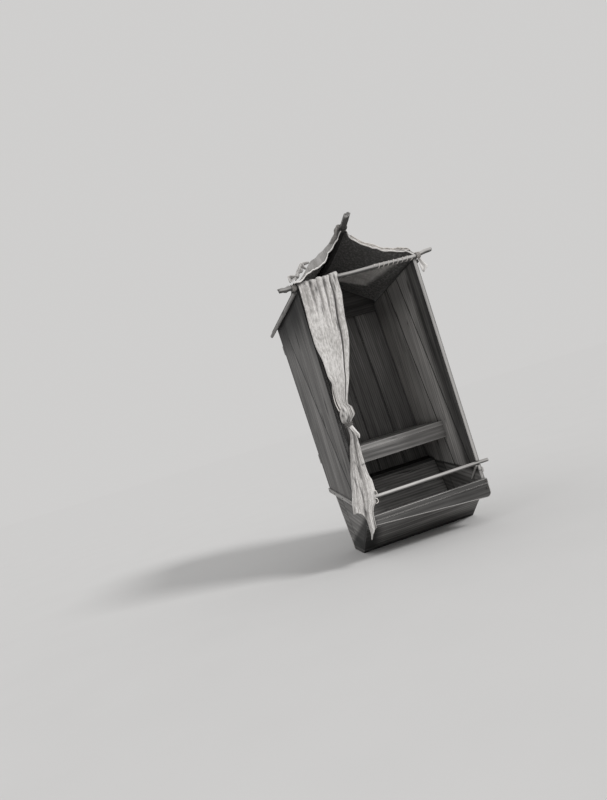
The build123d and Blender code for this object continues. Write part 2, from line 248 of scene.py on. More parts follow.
def joined(name, parts, smooth=True):
    """One piece from several (points, faces) lists."""
    points, faces = [], []
    for some_points, some_faces in parts:
        start = len(points)
        points.extend(some_points)
        faces.extend(tuple(start + i for i in face) for face in some_faces)
    return new_mesh(name, points, faces, smooth)


# Material nodes
RING_SCALE = 30.0  # of the year rings
WANDER = 0.016  # how far the grain strays
SHADOW_SLOPE = 0.4  # the painted shadow's upper edge falls this much for each metre backward
SHADOW_EDGE = 0.21 + SHADOW_SLOPE * FRONT
# the seams' dark grey: painted shade in the joints, with their dirt
SEAM_SHADE = 0.006
# the front faces' pale grey: painted highlight, with wear
WORN_AND_LIT_SHADE = 0.55
WOOD_GLOSS = 0.3  # specular levels
CLOTH_GLOSS = 0.15


class Graph:
    """A material's nodes, with short words for what repeats."""

    def __init__(self, name):
        self.material = bpy.data.materials.new(name)
        self.material.use_nodes = True
        self.tree = self.material.node_tree
        self.shader = self.tree.nodes["Principled BSDF"]

    def add(self, kind, inputs=(), **settings):
        node = self.tree.nodes.new("ShaderNode" + kind)
        for key, value in settings.items():
            setattr(node, key, value)
        for key, value in dict(inputs).items():
            self.put(node.inputs[key], value)
        return node

    def put(self, socket, value):
        if isinstance(value, bpy.types.NodeSocket):
            self.tree.links.new(value, socket)
        else:
            socket.default_value = value

    def math(self, operation, a, b=0.0):
        return self.add("Math", {0: a, 1: b}, operation=operation).outputs[0]

    def times(self, a, b):
        return self.math("MULTIPLY", a, b)

    def total(self, *terms):
        """The sum of (factor, value) pairs."""
        result = None
        for factor, value in terms:
            term = self.times(value, factor)
            result = term if result is None else self.math("ADD", result, term)
        return result

    def step(self, value, start, end, low_to=0.0, high_to=1.0):
        inputs = {0: value, 1: start, 2: end, 3: low_to, 4: high_to}
        return self.add("MapRange", inputs, interpolation_type="SMOOTHSTEP").outputs[0]

    def fall(self, value, start, end):
        """From 1 to 0 between two values."""
        return self.step(value, start, end, 1.0, 0.0)

    def shaded(self, tone, shades):
        """A colour between a wood's dark, middle and pale grey."""
        dark, middle, pale = shades
        colour = self.mix(self.step(tone, 0.0, 0.55), grey(dark), grey(middle))
        return self.mix(self.step(tone, 0.5, 1.0), colour, grey(pale))

    def mix(self, factor, a, b):
        return self.add("Mix", {0: factor, 6: a, 7: b}, data_type="RGBA").outputs[2]

    def tint(self, colour, mask, amount, shade, warm=0.03):
        """A grey over the colour, where a mask shows."""
        return self.mix(self.times(mask, amount), colour, grey(shade, warm))

    def moved(self, vector, location=(0, 0, 0), rotation=(0, 0, 0), scale=(1, 1, 1)):
        inputs = {"Vector": vector, "Location": location, "Rotation": rotation, "Scale": scale}
        return self.add("Mapping", inputs).outputs[0]

    def noise(self, vector, scale, detail=2.0, roughness=0.5, colour=False):
        stretched = self.moved(vector, scale=scale)
        inputs = {"Vector": stretched, "Scale": 1.0, "Detail": detail, "Roughness": roughness}
        return self.add("TexNoise", inputs).outputs[1 if colour else 0]

    def attribute(self, name, output="Fac"):
        return self.add("Attribute", attribute_name=name).outputs[output]

    def dot(self, a, b):
        node = self.add("VectorMath", {0: a, 1: b}, operation="DOT_PRODUCT")
        return node.outputs["Value"]

    def bump(self, height, distance, strength=1.0, normal=None):
        node = self.add("Bump", {"Height": height, "Distance": distance, "Strength": strength})
        if normal is not None:
            self.put(node.inputs["Normal"], normal)
        return node.outputs[0]

    def hollows(self, colour, shade, reach, closed, open_at, amount):
        """The colour with a darker grey in the hollows that lie within a reach: painted shade,
        and on the wood also its grime.
        """
        hollow = self.add("AmbientOcclusion", {"Distance": reach}, samples=6).outputs["AO"]
        return self.tint(colour, self.fall(hollow, closed, open_at), amount, shade)

    def surface(self, colour, roughness, normal, specular=0.5):
        """The finished material."""
        self.put(self.shader.inputs["Base Color"], colour)
        self.put(self.shader.inputs["Roughness"], roughness)
        self.put(self.shader.inputs["Normal"], normal)
        self.put(self.shader.inputs["Specular IOR Level"], specular)
        return self.material


def grey(value, warm=0.03):
    """A nearly neutral grey, a little warm, as weathered wood and cotton are."""
    return (value * (1 + warm), value, value * (1 - warm), 1.0)


def wood_marks(g, grain):
    """Patterns from 0 to 1 along the grain."""
    wander = g.noise(grain, (6, 6, 1.4), 2.0, colour=True)
    shift = g.add("VectorMath", {0: wander, 1: (0.5, 0.5, 0.5)}, operation="SUBTRACT")
    shift = g.add("VectorMath", {0: shift.outputs[0], "Scale": WANDER}, operation="SCALE")
    bent = g.add("VectorMath", {0: grain, 1: shift.outputs[0]}, operation="ADD").outputs[0]
    waves = {
        "Vector": g.moved(bent, location=(0.11, 0.06, 0), scale=(1, 1, 0.1)),
        "Scale": RING_SCALE,
        "Distortion": 1.6,
        "Detail": 2.0,
        "Detail Scale": 1.4,
    }
    year = g.add("TexWave", waves, wave_type="RINGS", rings_direction="Z").outputs["Fac"]
    knot_place = g.moved(bent, scale=(7.5, 7.5, 2.0))
    knot_far = g.add("TexVoronoi", {"Vector": knot_place, "Scale": 1.0}).outputs["Distance"]
    line = g.noise(bent, (38, 38, 0.9), 1.5)
    crack = g.fall(g.math("ABSOLUTE", g.math("SUBTRACT", line, 0.5)), 0.0, 0.011)
    return SimpleNamespace(
        streak=g.noise(bent, (48, 48, 1.3), 6.0, 0.68),
        fibre=g.noise(bent, (330, 330, 7), 3.0, 0.6),
        blotch=g.noise(grain, (7, 7, 2.1), 4.0),
        broad=g.noise(grain, (13, 13, 0.7), 2.0),
        year=year,
        knot=g.fall(knot_far, 0.05, 0.13),
        crack=g.times(crack, g.step(g.noise(grain, (9, 9, 3.2), 1.0), 0.5, 0.62)),
    )


def cast_shade_mask(g, at, normal, inner_face):
    """Painted shade under the eaves, beside the curtain, and inside behind the front edges."""
    depth, height = g.dot(at, BACKWARD), g.dot(at, UP)
    start, end, _ = EAVES[-1]
    slope = (end.z - start.z) / (end.y - start.y)
    under = g.math("ADD", g.total((-1.0, height), (slope, depth)), start.z - slope * start.y)
    eave = g.fall(under, 0.05, 0.23)
    beside = g.fall(depth, FRONT + 0.03, FRONT + 0.11)
    beside = g.times(beside, g.step(height, 0.90, 1.15))
    behind = g.fall(depth, FRONT + 0.09, FRONT + 0.18)
    outside = g.math("MAXIMUM", eave, beside)
    inside = g.math("MAXIMUM", g.times(eave, 0.5), behind)
    more_inside = g.times(inner_face, g.math("SUBTRACT", inside, outside))
    side_face = g.step(g.math("ABSOLUTE", g.dot(normal, ACROSS)), 0.6, 0.9)
    return g.times(g.math("ADD", outside, more_inside), side_face)


def corner_shadow_mask(g, at):
    """A painted shadow at the foot's left front corner."""
    slope = g.total((1.0, g.dot(at, UP)), (SHADOW_SLOPE, g.dot(at, BACKWARD)))
    low_down = g.fall(slope, SHADOW_EDGE - 0.018, SHADOW_EDGE + 0.018)
    return g.times(low_down, g.fall(g.dot(at, ACROSS), -0.26, -0.20))


def wood_edges(g, colour, normal, marks, pale, edge_wear_and_light, front_wear_and_light, reach):
    """Edges painted pale, as painted highlight and wear, or dark in the seams, as painted shade
    and dirt, and front faces painted pale, as painted highlight and wear; also the edges' mask.
    """
    round_edge = g.add("Bevel", {"Radius": reach}, samples=8).outputs[0]
    surface = g.add("NewGeometry").outputs["Normal"]
    turned = g.math("SUBTRACT", 1.0, g.dot(round_edge, surface))
    edge = g.step(turned, 0.006, 0.13 if edge_wear_and_light > 0 else 0.045)
    if edge_wear_and_light > 0:
        patchy = g.total((0.6, marks.streak), (0.6, marks.blotch))
        edge = g.times(edge, g.step(patchy, 0.30, 0.60))
        # painted highlight and wear on the edges
        edge_pale = 0.5 if edge_wear_and_light > 0.9 else min(0.62, pale * 2.2)
        colour = g.tint(colour, edge, edge_wear_and_light, edge_pale)
    else:
        # painted shade and dirt in the seams
        colour = g.tint(colour, edge, -edge_wear_and_light, SEAM_SHADE)
    if front_wear_and_light:
        # painted highlight and wear on the faces that look forward
        facing = g.step(g.dot(normal, (0.0, -1.0, 0.0)), 0.8, 0.95)
        worn_and_lit = g.times(facing, g.step(marks.streak, 0.2, 0.6, 0.6, 1.0))
        worn_and_lit = g.times(worn_and_lit, g.step(turned, 0.10, 0.20, 1.0, 0.2))
        colour = g.tint(colour, worn_and_lit, front_wear_and_light, WORN_AND_LIT_SHADE)
    return colour, edge


def painted_wood_shade(g, colour, at, normal, marks, dark, inner_face, corner_shadow, under):
    """Painted shade over the wood's colour: cast shade on the side panels, a painted shadow at
    the foot's corner, shade on the underside, and the darkening that the dark mark gives.
    """
    ragged = g.total((0.6, marks.streak), (0.7, marks.blotch))
    ragged = g.step(ragged, 0.45, 0.8, 1.0, 0.82)
    if inner_face:
        # painted shade: the shadows of the eaves, the curtain and the front pole on the side
        # panels
        cast_shade = g.times(cast_shade_mask(g, at, normal, inner_face), ragged)
        colour = g.tint(colour, cast_shade, 0.95, dark * 0.12)
    # a painted shadow at the foot's left front corner
    if corner_shadow:
        colour = g.tint(colour, corner_shadow_mask(g, at), ragged, dark * 0.15)
    # painted shade on the underside
    if under:
        colour = g.tint(colour, g.fall(g.dot(normal, UP), -0.55, 0.0), under, dark * 0.35)
    # the dark mark: painted shade along the ridge stick, and the front stick's darker left end
    darkening = g.attribute("dark")
    return g.tint(colour, darkening, g.step(marks.streak, 0.2, 0.7, 1.0, 0.75), dark * 0.3)


def wood(name, shades, seed, along=None, edge_wear_and_light=0.6, front_wear_and_light=0.0, corner_shadow=False, inward=0,
         reach=0.008, under=0.0):
    """Weathered wood with its grain along a direction, or along a stick's own length.

    Above 0, the edge setting paints the edges pale, as painted highlight and wear; below 0 it
    paints the seams between planks dark, as painted shade and dirt.
    Reach is how far from an edge it shows. A side panel has its inner face on the side that
    inward gives, -1 or 1; that face is painted lighter, as painted light inside and as less
    weathered wood. Under is how much shade is painted on its underside."""
    g = Graph(name)
    dark, _, pale = shades
    places = g.add("TexCoord")
    at, normal = places.outputs["Object"], places.outputs["Normal"]
    plain = g.attribute("grain", "Vector") if along is None else at
    turn = Vector(along or UP).to_track_quat("Z", "Y").inverted().to_euler()
    grain = g.moved(plain, location=(seed * 1.37, seed * 0.71, seed * 2.13), rotation=turn)
    marks = wood_marks(g, grain)
    streak, fibre, year = marks.streak, marks.fibre, marks.year
    tone = g.total((0.40, streak), (0.08, year), (0.22, fibre), (0.26, marks.blotch),
                   (0.16, marks.broad))
    tone = g.step(tone, 0.38, 0.74)
    colour = g.shaded(tone, shades)
    inner_face = None
    if inward:
        # inner faces painted lighter: painted light inside, and less weathered wood
        inner_face = g.step(g.dot(normal, (inward, 0.0, 0.0)), 0.6, 0.9)
        colour = g.mix(inner_face, colour, g.shaded(tone, INNER_PLANK))
    colour = g.tint(colour, marks.knot, 0.75, dark * 0.5)
    colour, edge = wood_edges(g, colour, normal, marks, pale, edge_wear_and_light, front_wear_and_light, reach)
    colour = painted_wood_shade(g, colour, at, normal, marks, dark, inner_face, corner_shadow, under)
    # grime and painted shade in the wood's corners
    colour = g.hollows(colour, dark * 0.35, reach=0.05, closed=0.25, open_at=0.95, amount=0.6)
    colour = g.tint(colour, marks.crack, 0.85, dark * 0.22)
    roughness = g.math("ADD", g.total((0.24, streak), (0.12, fibre), (-0.16, edge)), 0.62)
    height = g.total((0.5, streak), (0.35, fibre), (0.16, year), (-0.9, marks.crack),
                     (0.3, marks.knot))
    return g.surface(colour, roughness, g.bump(height, 0.0010, 0.7), WOOD_GLOSS)


def cloth(name, shade, thread, seed, stain, crease, dim, dark="dark"):
    """Woven cloth with threads, slubs, stains and small creases, in metres of the flat cut.

    Dim is how much shade is painted in its hollows, and dark names the mark that shows where
    shade is painted on it."""
    g = Graph(name)
    flat = g.add("UVMap", uv_map="flat").outputs[0]
    placed = g.moved(flat, location=(seed * 0.83, seed * 1.61, 0.0))
    bands = 2 * pi / 20 / thread
    threads = []
    for direction, slub in (("X", (900, 26, 1)), ("Y", (26, 900, 1))):
        waves = {"Vector": placed, "Scale": bands, "Distortion": 0.6, "Detail": 1.0}
        wave = g.add("TexWave", waves, wave_type="BANDS", bands_direction=direction)
        thick = g.noise(placed, slub, 2.0)
        threads.append(g.times(wave.outputs["Fac"], g.math("ADD", thick, 0.5)))
    weft = g.math("MAXIMUM", *threads)
    stains = g.noise(placed, (7, 4.5, 1), 4.0, 0.6)
    fine = g.noise(placed, (90, 48, 1), 3.0, 0.65)
    streak = g.noise(placed, (120, 7, 1), 3.0, 0.6)
    dirt = g.step(g.total((0.35, stains), (0.40, fine), (0.30, streak)), 0.43, 0.62)
    colour = g.tint(grey(shade), dirt, stain, shade * 0.45, 0.05)
    # painted highlight where the pale mark shows
    colour = g.tint(colour, g.attribute("pale"), g.step(fine, 0.3, 0.55, 0.7, 1.0), 0.74)
    # painted shade where the dark mark shows
    colour = g.tint(colour, g.attribute(dark), g.step(fine, 0.3, 0.6, 0.8, 1.0), 0.03)
    colour = g.mix(g.step(weft, 0.1, 0.8, 0.22, 0.0), colour, grey(shade * 0.5))
    # painted shade in the cloth's folds
    colour = g.hollows(colour, shade * 0.3, reach=0.03, closed=0.2, open_at=0.9, amount=dim)
    roughness = g.math("ADD", g.times(weft, -0.12), 0.96)
    g.put(g.shader.inputs["Sheen Weight"], 0.12)
    g.put(g.shader.inputs["Sheen Roughness"], 0.6)
    creases = g.bump(g.total((0.7, g.noise(placed, (24, 14, 1), 3.0)), (0.4, streak)), crease)
    return g.surface(colour, roughness, g.bump(weft, 0.0004, 0.9, creases), CLOTH_GLOSS)


def iron(name):
    """Forged iron with patches of rust."""
    g = Graph(name)
    place = g.add("TexCoord").outputs["Object"]
    rust = g.noise(place, (160, 160, 160), 4.0, 0.7)
    colour = g.mix(g.step(rust, 0.4, 0.65), grey(0.035), (0.11, 0.085, 0.068, 1.0))
    roughness = g.step(rust, 0.3, 0.7, 0.5, 0.85)
    g.put(g.shader.inputs["Metallic"], g.step(rust, 0.4, 0.6, 0.8, 0.15))
    return g.surface(colour, roughness, g.bump(rust, 0.0006, 0.6))


def fibre_cord(name, shade):
    """Twisted plant fibre, read along the cord's own length."""
    g = Graph(name)
    grain = g.attribute("grain", "Vector")
    strand = g.noise(grain, (900, 900, 60), 3.0, 0.6)
    wide = g.noise(grain, (40, 40, 12), 2.0)
    colour = g.mix(g.step(strand, 0.35, 0.65), grey(shade * 0.55, 0.06), grey(shade, 0.05))
    colour = g.mix(g.step(wide, 0.45, 0.7, 0.0, 0.45), colour, grey(shade * 0.4, 0.06))
    roughness = g.step(strand, 0.3, 0.7, 0.8, 0.95)
    return g.surface(colour, roughness, g.bump(strand, 0.0008, 0.9))


# Boards: each CAD node keeps its shape and gets its own wood and slightly rounded edges
PLANK = (0.085, 0.18, 0.31)
DULL_PLANK = (0.062, 0.138, 0.26)
BATTEN = (0.10, 0.20, 0.33)
STRIP = (0.11, 0.22, 0.34)
FLOOR_BOARD = (0.035, 0.075, 0.14)
BACK_PLANK = (0.075, 0.16, 0.28)
# the inner faces' pale wood: painted light inside, and less weathered wood
INNER_PLANK = (0.24, 0.46, 0.66)
# dark wood for the gable board and the inner rail: painted shade
SHADED_PLANK = (0.035, 0.07, 0.12)
FRONT_PLANK = (0.033, 0.068, 0.125)
# the brace's pale wood: a painted highlight, with rubbed wood
BRACE = (0.25, 0.42, 0.58)
leaning = Vector(high("back_board_1")) - Vector(high("foot_strip_left"))
leaning.x = 0.0
strip_rise = Vector(high("foot_strip_left")) - Vector(low("foot_strip_left"))
strip_rise.x = 0.0
BOARDS = (
    # start of the nodes' names, shades, grain, and settings: edges painted pale above 0, as
    # painted highlight and wear, and seams painted dark below 0, as painted shade and dirt
    ("side_plank_left", DULL_PLANK, UP, {"edge_wear_and_light": -0.98, "reach": 0.020, "inward": 1}),
    ("side_plank_right", DULL_PLANK, UP,
     {"edge_wear_and_light": -0.95, "reach": 0.014, "inward": -1, "front_wear_and_light": 0.6}),
    ("foot_cheek", PLANK, strip_rise,
     {"edge_wear_and_light": -0.6, "reach": 0.014, "front_wear_and_light": 0.3, "corner_shadow": True}),
    ("foot_strip", STRIP, strip_rise, {"edge_wear_and_light": 0.95, "front_wear_and_light": 0.5}),
    ("foot_board", DULL_PLANK, ACROSS, {"edge_wear_and_light": 0.4, "corner_shadow": True}),
    ("toe_board", FLOOR_BOARD, ACROSS, {"edge_wear_and_light": 0.6, "front_wear_and_light": 0.3}),
    ("base_board", FLOOR_BOARD, ACROSS, {"edge_wear_and_light": 0.5}),
    ("foot_box_back", PLANK, ACROSS, {"edge_wear_and_light": 0.4}),
    ("rear_floor", FLOOR_BOARD, ACROSS, {"edge_wear_and_light": 0.4}),
    ("front_board", FRONT_PLANK, ACROSS, {"edge_wear_and_light": 0.92}),
    ("seat_board", BATTEN, ACROSS, {"edge_wear_and_light": 0.6, "front_wear_and_light": 0.3}),
    ("seat_cleat", PLANK, BACKWARD, {"edge_wear_and_light": 0.4}),
    ("seat_rail", PLANK, ACROSS, {"edge_wear_and_light": 0.6}),
    ("back_board", BACK_PLANK, leaning, {"edge_wear_and_light": -0.8, "reach": 0.014}),
    ("back_batten", BATTEN, ACROSS, {"edge_wear_and_light": 0.7}),
    ("back_inner_rail", SHADED_PLANK, ACROSS, {"edge_wear_and_light": 0.5}),
    ("gable_board", SHADED_PLANK, ACROSS, {"edge_wear_and_light": 0.5}),
    ("gable_post", BATTEN, UP, {"edge_wear_and_light": 0.6}),
    ("bar_brace", BRACE, (0.0, -0.6, 0.8), {"edge_wear_and_light": 0.8, "front_wear_and_light": 0.8}),
)
EDGE_ROUND = 0.0016
SEAM_ROUND = 0.0032  # where planks meet edge to edge
ROUNDED_FROM = radians(35)
SAME_POINT = 0.00001


def dress_board(board, material):
    """Give a CAD board its material and slightly rounded edges."""
    board.data.materials.clear()
    board.data.materials.append(material)
    weld = board.modifiers.new("weld", "WELD")
    weld.merge_threshold = SAME_POINT
    bevel = board.modifiers.new("edges", "BEVEL")
    seamed = board.name.startswith(("side_plank", "back_board"))
    bevel.width = SEAM_ROUND if seamed else EDGE_ROUND
    bevel.segments = 2
    bevel.limit_method = "ANGLE"
    bevel.angle_limit = ROUNDED_FROM
    bevel.harden_normals = True


def dress_boards():
    """Each board's wood by its name's start, each a little lighter or darker."""
    for count, name in enumerate(sorted(nodes)):
        for start, shades, along, wear in BOARDS:
            if name.startswith(start):
                lighter = 1.0 + 0.55 * rough(count * 3.7, 0.5, 0.5)
                tones = [shade * lighter for shade in shades]
                material = wood(f"wood_{name}", tones, count * 0.913, along, **wear)
                dress_board(nodes[name], material)
                break


# Sticks: peeled branches with bends, knots and cut or broken ends
STICK_SIDES = 28
STICK_STEP = 0.008
STICK_FIT = {"front": 0.98, "ridge": 0.97, "eave": 0.98, "foot": 0.965}  # by the pole's radius
CUT_FACE = ((0.93, 0.10), (0.6, 0.13), (0.02, 0.12))  # share of the radius, depth by the radius


def stick_size(radius, seed, waver, knots, angle, along):
    """A stick's own radius at one place round it and along it."""
    c, s = cos(angle), sin(angle)
    size = radius * (1 + waver * rough(seed + 2.2 * c, 2.2 * s, along * 14))
    size *= 1 + 0.5 * waver * rough(seed, c * 5, s * 5 + along * 60)
    for at, knot_angle, amount in knots:
        near = exp(-(((along - at) / (0.9 * radius)) ** 2))
        size += radius * amount * near * exp(2.2 * (cos(angle - knot_angle) - 1))
    return size


def stick_jag(seed, angle, salt):
    """How far a broken end's splinters reach at one place round it."""
    c, s = cos(angle), sin(angle)
    return 0.5 + 0.4 * rough(seed + 3 * c, 3 * s, salt) + 0.6 * s


def stick_ends(rows, places, line, radius, length):
    """Close a stick's two ends with hollow cut faces."""
    for end, inward, at in ((0, line[1] - line[0], 0.0), (-1, line[-2] - line[-1], length)):
        ring, plain = rows[end], places[end]
        centre = sum(ring, Vector()) / STICK_SIDES
        for share, deep in CUT_FACE:
            dip = inward.normalized() * (radius * deep)
            outermost = 0 if end == 0 else len(rows)
            rows.insert(outermost, [centre + (q - centre) * share + dip for q in ring])
            places.insert(outermost, [(x * share, y * share, at) for x, y, _ in plain])


def stick_mesh(line, radius, seed, knots=(), waver=0.06, break_start=0.0, break_end=0.0):
    """Points, faces and grain places of a stick along a line of points."""
    last = len(line) - 1
    rows, places = [], []
    along = 0.0
    side = (line[1] - line[0]).orthogonal()
    for i, p in enumerate(line):
        ahead = (line[min(i + 1, last)] - line[max(i - 1, 0)]).normalized()
        side = (side - ahead * side.dot(ahead)).normalized()
        third = ahead.cross(side)
        if i:
            along += (p - line[i - 1]).length
        row, place = [], []
        for k in range(STICK_SIDES):
            angle = 2 * pi * k / STICK_SIDES
            size = stick_size(radius, seed, waver, knots, angle, along)
            c, s = cos(angle) * size, sin(angle) * size
            jag = 0.0
            if i == 0:
                jag = -break_start * stick_jag(seed, angle, 1.5)
            if i == last:
                jag = break_end * stick_jag(seed, angle, 7.5)
            row.append(p + side * c + third * s + ahead * jag)
            place.append((c, s, along))
        rows.append(row)
        places.append(place)
    stick_ends(rows, places, line, radius, along)
    points = [q for row in rows for q in row]
    faces = grid_faces(len(rows), STICK_SIDES, closed=True)
    faces += end_faces(len(points), STICK_SIDES)
    return points, faces, [q for row in places for q in row]


def stick(name, line, radius, seed, node, shades, slot="pole_wood", body="chair",
          darkening=(), under=0.8, **shape):
    """A stick in place of a plain round pole of the frame.

    Darkening lists where along it the wood is still clear, where it is fully dark, and how dark:
    painted shade on the ridge stick under the roof, and a darker left end on the front stick."""
    points, faces, places = stick_mesh(line, radius, seed, **shape)
    piece = new_mesh(name, points, faces)
    mark(piece, "grain", places)
    along = np.array(places)[:, 2]
    dark = np.zeros(len(along))
    for clear, full, amount in darkening:
        edge = ramp(along, min(clear, full), max(clear, full))
        dark = np.maximum(dark, amount * (edge if full > clear else 1 - edge))
    mark(piece, "dark", dark)
    piece.data.materials.append(wood(f"wood_{name}", shades, seed, edge_wear_and_light=0.5, under=under))
    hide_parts(node)
    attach(piece, body)


def straight(start, end, sway=0.0, seed=0.0):
    """Points along a straight line, with the slight sway of a grown stick."""
    start, end = Vector(start), Vector(end)
    count = max(2, int((end - start).length / STICK_STEP))
    points = []
    for i in range(count + 1):
        t = i / count
        off = Vector((0, rough(seed, t * 5, 0.3), rough(t * 5, seed, 0.8)))
        points.append(start.lerp(end, t) + off * (sway * sin(pi * t)))
    return points


BARKED = (0.085, 0.20, 0.36)
HANDLED = (0.14, 0.32, 0.52)
RUBBED = (0.22, 0.40, 0.56)
FRONT_KNOTS = (
    # metres from the left end, angle round the stick, size by the radius
    (0.012, 0.6, 0.42), (0.03, 3.9, 0.5), (0.046, 1.2, 0.55), (0.06, 5.0, 0.5),
    (0.076, 2.6, 0.4), (0.47, 0.6, 0.16), (0.585, 5.2, 0.24), (0.635, 1.9, 0.3),
    (0.672, 4.6, 0.3), (0.7, 2.4, 0.34), (0.728, 0.3, 0.3), (0.748, 3.3, 0.26),
)
RIDGE_TIP_BACK = 0.006  # from the plain pole's end to the broken one
TIP_LIFT = 0.015  # the front pole's right end bends up
RIDGE_KNOTS = ((0.07, 2.6, 0.16), (0.5, 0.9, 0.2))
EAVE_KNOTS = ((0.2, 1.0, 0.2), (0.52, 4.0, 0.2))


def make_sticks():
    line = straight(POLE_START, POLE_END, sway=0.003, seed=4.1)
    for p in line:
        p.z += TIP_LIFT * ramp(p.x, 0.27, 0.38)
    stick("front_stick", line, POLE_R * STICK_FIT["front"], seed=4.1, node="front_pole",
          shades=HANDLED, darkening=((0.12, 0.08, 0.3),), knots=FRONT_KNOTS, waver=0.10,
          break_start=0.006, break_end=0.004)
    tip, end = (corner.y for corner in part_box("ridge_pole"))
    tip += RIDGE_TIP_BACK
    line = []
    for y in np.linspace(tip, end, 101):
        sway = 0.002 * sin(pi * (y - tip) / (end - tip))
        line.append(Vector((sway * rough(y * 7, 2.2, 0.1), y, ridge_z(y))))
    # the ridge stick gets painted shade behind its tip, under the roof
    stick("ridge_stick", line, RIDGE_R * STICK_FIT["ridge"], seed=8.3, node="ridge_pole",
          shades=BARKED, darkening=((0.09, 0.13, 1.0),), knots=RIDGE_KNOTS, waver=0.08,
          break_start=0.020)
    for side, name, seed in ((-1, "left", 12.7), (1, "right", 15.9)):
        start, finish, radius = EAVES[side]
        line = straight(start, finish, sway=0.002, seed=seed)
        stick(f"eave_stick_{name}", line, radius * STICK_FIT["eave"], seed=seed,
              node=f"eave_pole_{name}", shades=HANDLED, under=0.15, knots=EAVE_KNOTS,
              waver=0.07, break_end=0.003)
    start, finish, radius = pole_line("foot_bar")
    stick("foot_stick", straight(start, finish), radius * STICK_FIT["foot"], seed=21.3,
          node="foot_bar", shades=RUBBED, slot="stick_wood", body="bar", waver=0.03)


# Cords
LASHING_R = 0.0024
TWIST = 5  # radii to a turn of the strands
STRAND_RELIEF = 0.14


def tube(line, radius, closed=False, around=10, uneven=0.0):
    """Points, faces and grain places of a cord along a line of points."""
    line = [Vector(p) for p in line]
    count = len(line)
    rows, places, along = [], [], 0.0
    for i, p in enumerate(line):
        before = line[i - 1] if closed or i else p
        after = line[(i + 1) % count] if closed or i + 1 < count else p
        ahead = (after - before).normalized()
        side = ahead.cross(Vector((0.13, 0.31, 0.94))).normalized()
        third = ahead.cross(side)
        if i:
            along += (p - line[i - 1]).length
        twist = along / (radius * TWIST)
        size = radius * (1 + uneven * rough(p.x * 70, p.y * 70, p.z * 70))
        for k in range(around):
            angle = 2 * pi * k / around
            strand = size * (1 + STRAND_RELIEF * cos(3 * angle - 2 * pi * twist))
            c, s = strand * cos(angle), strand * sin(angle)
            rows.append(p + side * c + third * s)
            places.append((c, s, along))
    faces = grid_faces(count, around, closed=True)
    if closed:
        last = (count - 1) * around
        for k in range(around):
            j = (k + 1) % around
            faces.append((last + k, last + j, j, k))
    else:
        faces += end_faces(count * around, around)
    return rows, faces, places


def cords(name, tubes, shade):
    """One piece from several tubes of the same fibre."""
    piece = joined(name, [(points, faces) for points, faces, _ in tubes])
    mark(piece, "grain", [p for _, _, places in tubes for p in places])
    piece.data.materials.append(fibre_cord(f"fibre_{name}", shade))
    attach(piece, "chair")
    return piece


def turns_round(centre, axis, radius, count, pitch, seed):
    """Close turns of cord round a stick, as one helix."""
    axis = Vector(axis).normalized()
    side = axis.orthogonal().normalized()
    third = axis.cross(side)
    line = []
    steps = 22
    for k in range(int(count * steps) + 1):
        a = 2 * pi * k / steps
        r = radius + 0.0006 * rough(seed, k * 0.21, 0.4)
        shift = (k / steps - count / 2) * pitch
        line.append(Vector(centre) + spoke(side, third, r, a) + axis * shift)
    return tube(line, LASHING_R, around=8)


# Roof cloth
ROOF_THREAD = 0.0016  # from one thread to the next
ROOF_THICK = 0.0016
CLOTH_OFF = 0.0016  # from what it lies on to the middle of the cloth
RIDGE_WRAP = RIDGE_R + 0.0020
RIDGE_SOFT = 0.008  # how broadly the cloth turns over the pole
HEM_AT_RIDGE = FRONT + 0.026
HEM_AT_EAVE = {-1: FRONT - 0.039, 1: FRONT + 0.006}
POLE_TOP = POLE_Z + POLE_R + CLOTH_OFF
FRONT_LINE = {
    # by side: share of the way to the eave, share of the rise
    -1: (
        (0.0, 1.0), (0.053, 0.955), (0.159, 0.81), (0.243, 0.7), (0.324, 0.6),
        (0.425, 0.51), (0.54, 0.425), (0.647, 0.345), (0.732, 0.25), (0.817, 0.125),
        (0.958, 0.004), (1.0, 0.0),
    ),
    1: (
        (0.0, 1.0), (0.028, 0.857), (0.094, 0.731), (0.188, 0.588), (0.297, 0.498),
        (0.398, 0.412), (0.491, 0.325), (0.609, 0.271), (0.697, 0.235), (0.768, 0.211),
        (0.879, 0.165), (0.935, 0.095), (1.0, 0.0),
    ),
}
HEM = {
    # by side: share of the way to the eave, height of the hanging hem
    -1: (
        (0.0, 0.02), (0.15, 0.036), (0.26, 0.035), (0.35, 0.032), (0.4, 0.048), (0.46, 0.054),
        (0.51, 0.051), (0.62, 0.05), (0.71, 0.037), (0.82, 0.015), (0.96, 0.008), (1.0, 0.006),
    ),
    1: (
        (0.0, 0.02), (0.09, 0.025), (0.18, 0.019), (0.28, 0.017), (0.37, 0.024), (0.44, 0.016),
        (0.53, 0.018), (0.67, 0.017), (0.8, 0.022), (0.86, 0.017), (0.936, 0.018), (1.0, 0.001),
    ),
}
SAG_REACH = 0.10  # the hem's sag dies away over this depth
TAUT = 1.10  # power of the roof's line where it is stretched
LAP = radians(48)  # how far the cloth turns down round an eave pole
LAP_COLUMNS = 5
HEM_ROWS, ROOF_ROWS = 16, 96
SLOPE_COLUMNS = 78
OVER_RIDGE = (15, 30, 44, 57, 68, 77, 84, 90)  # degrees round the ridge pole
HEM_ROLL = 0.0030  # radius
ROLL_FROM, ROLL_OVER = 0.72, 0.28  # shares of the hem's rows that hang, then roll up
ROLL_TURN = 1.55 * pi
LEAST_ROLLED = 0.004


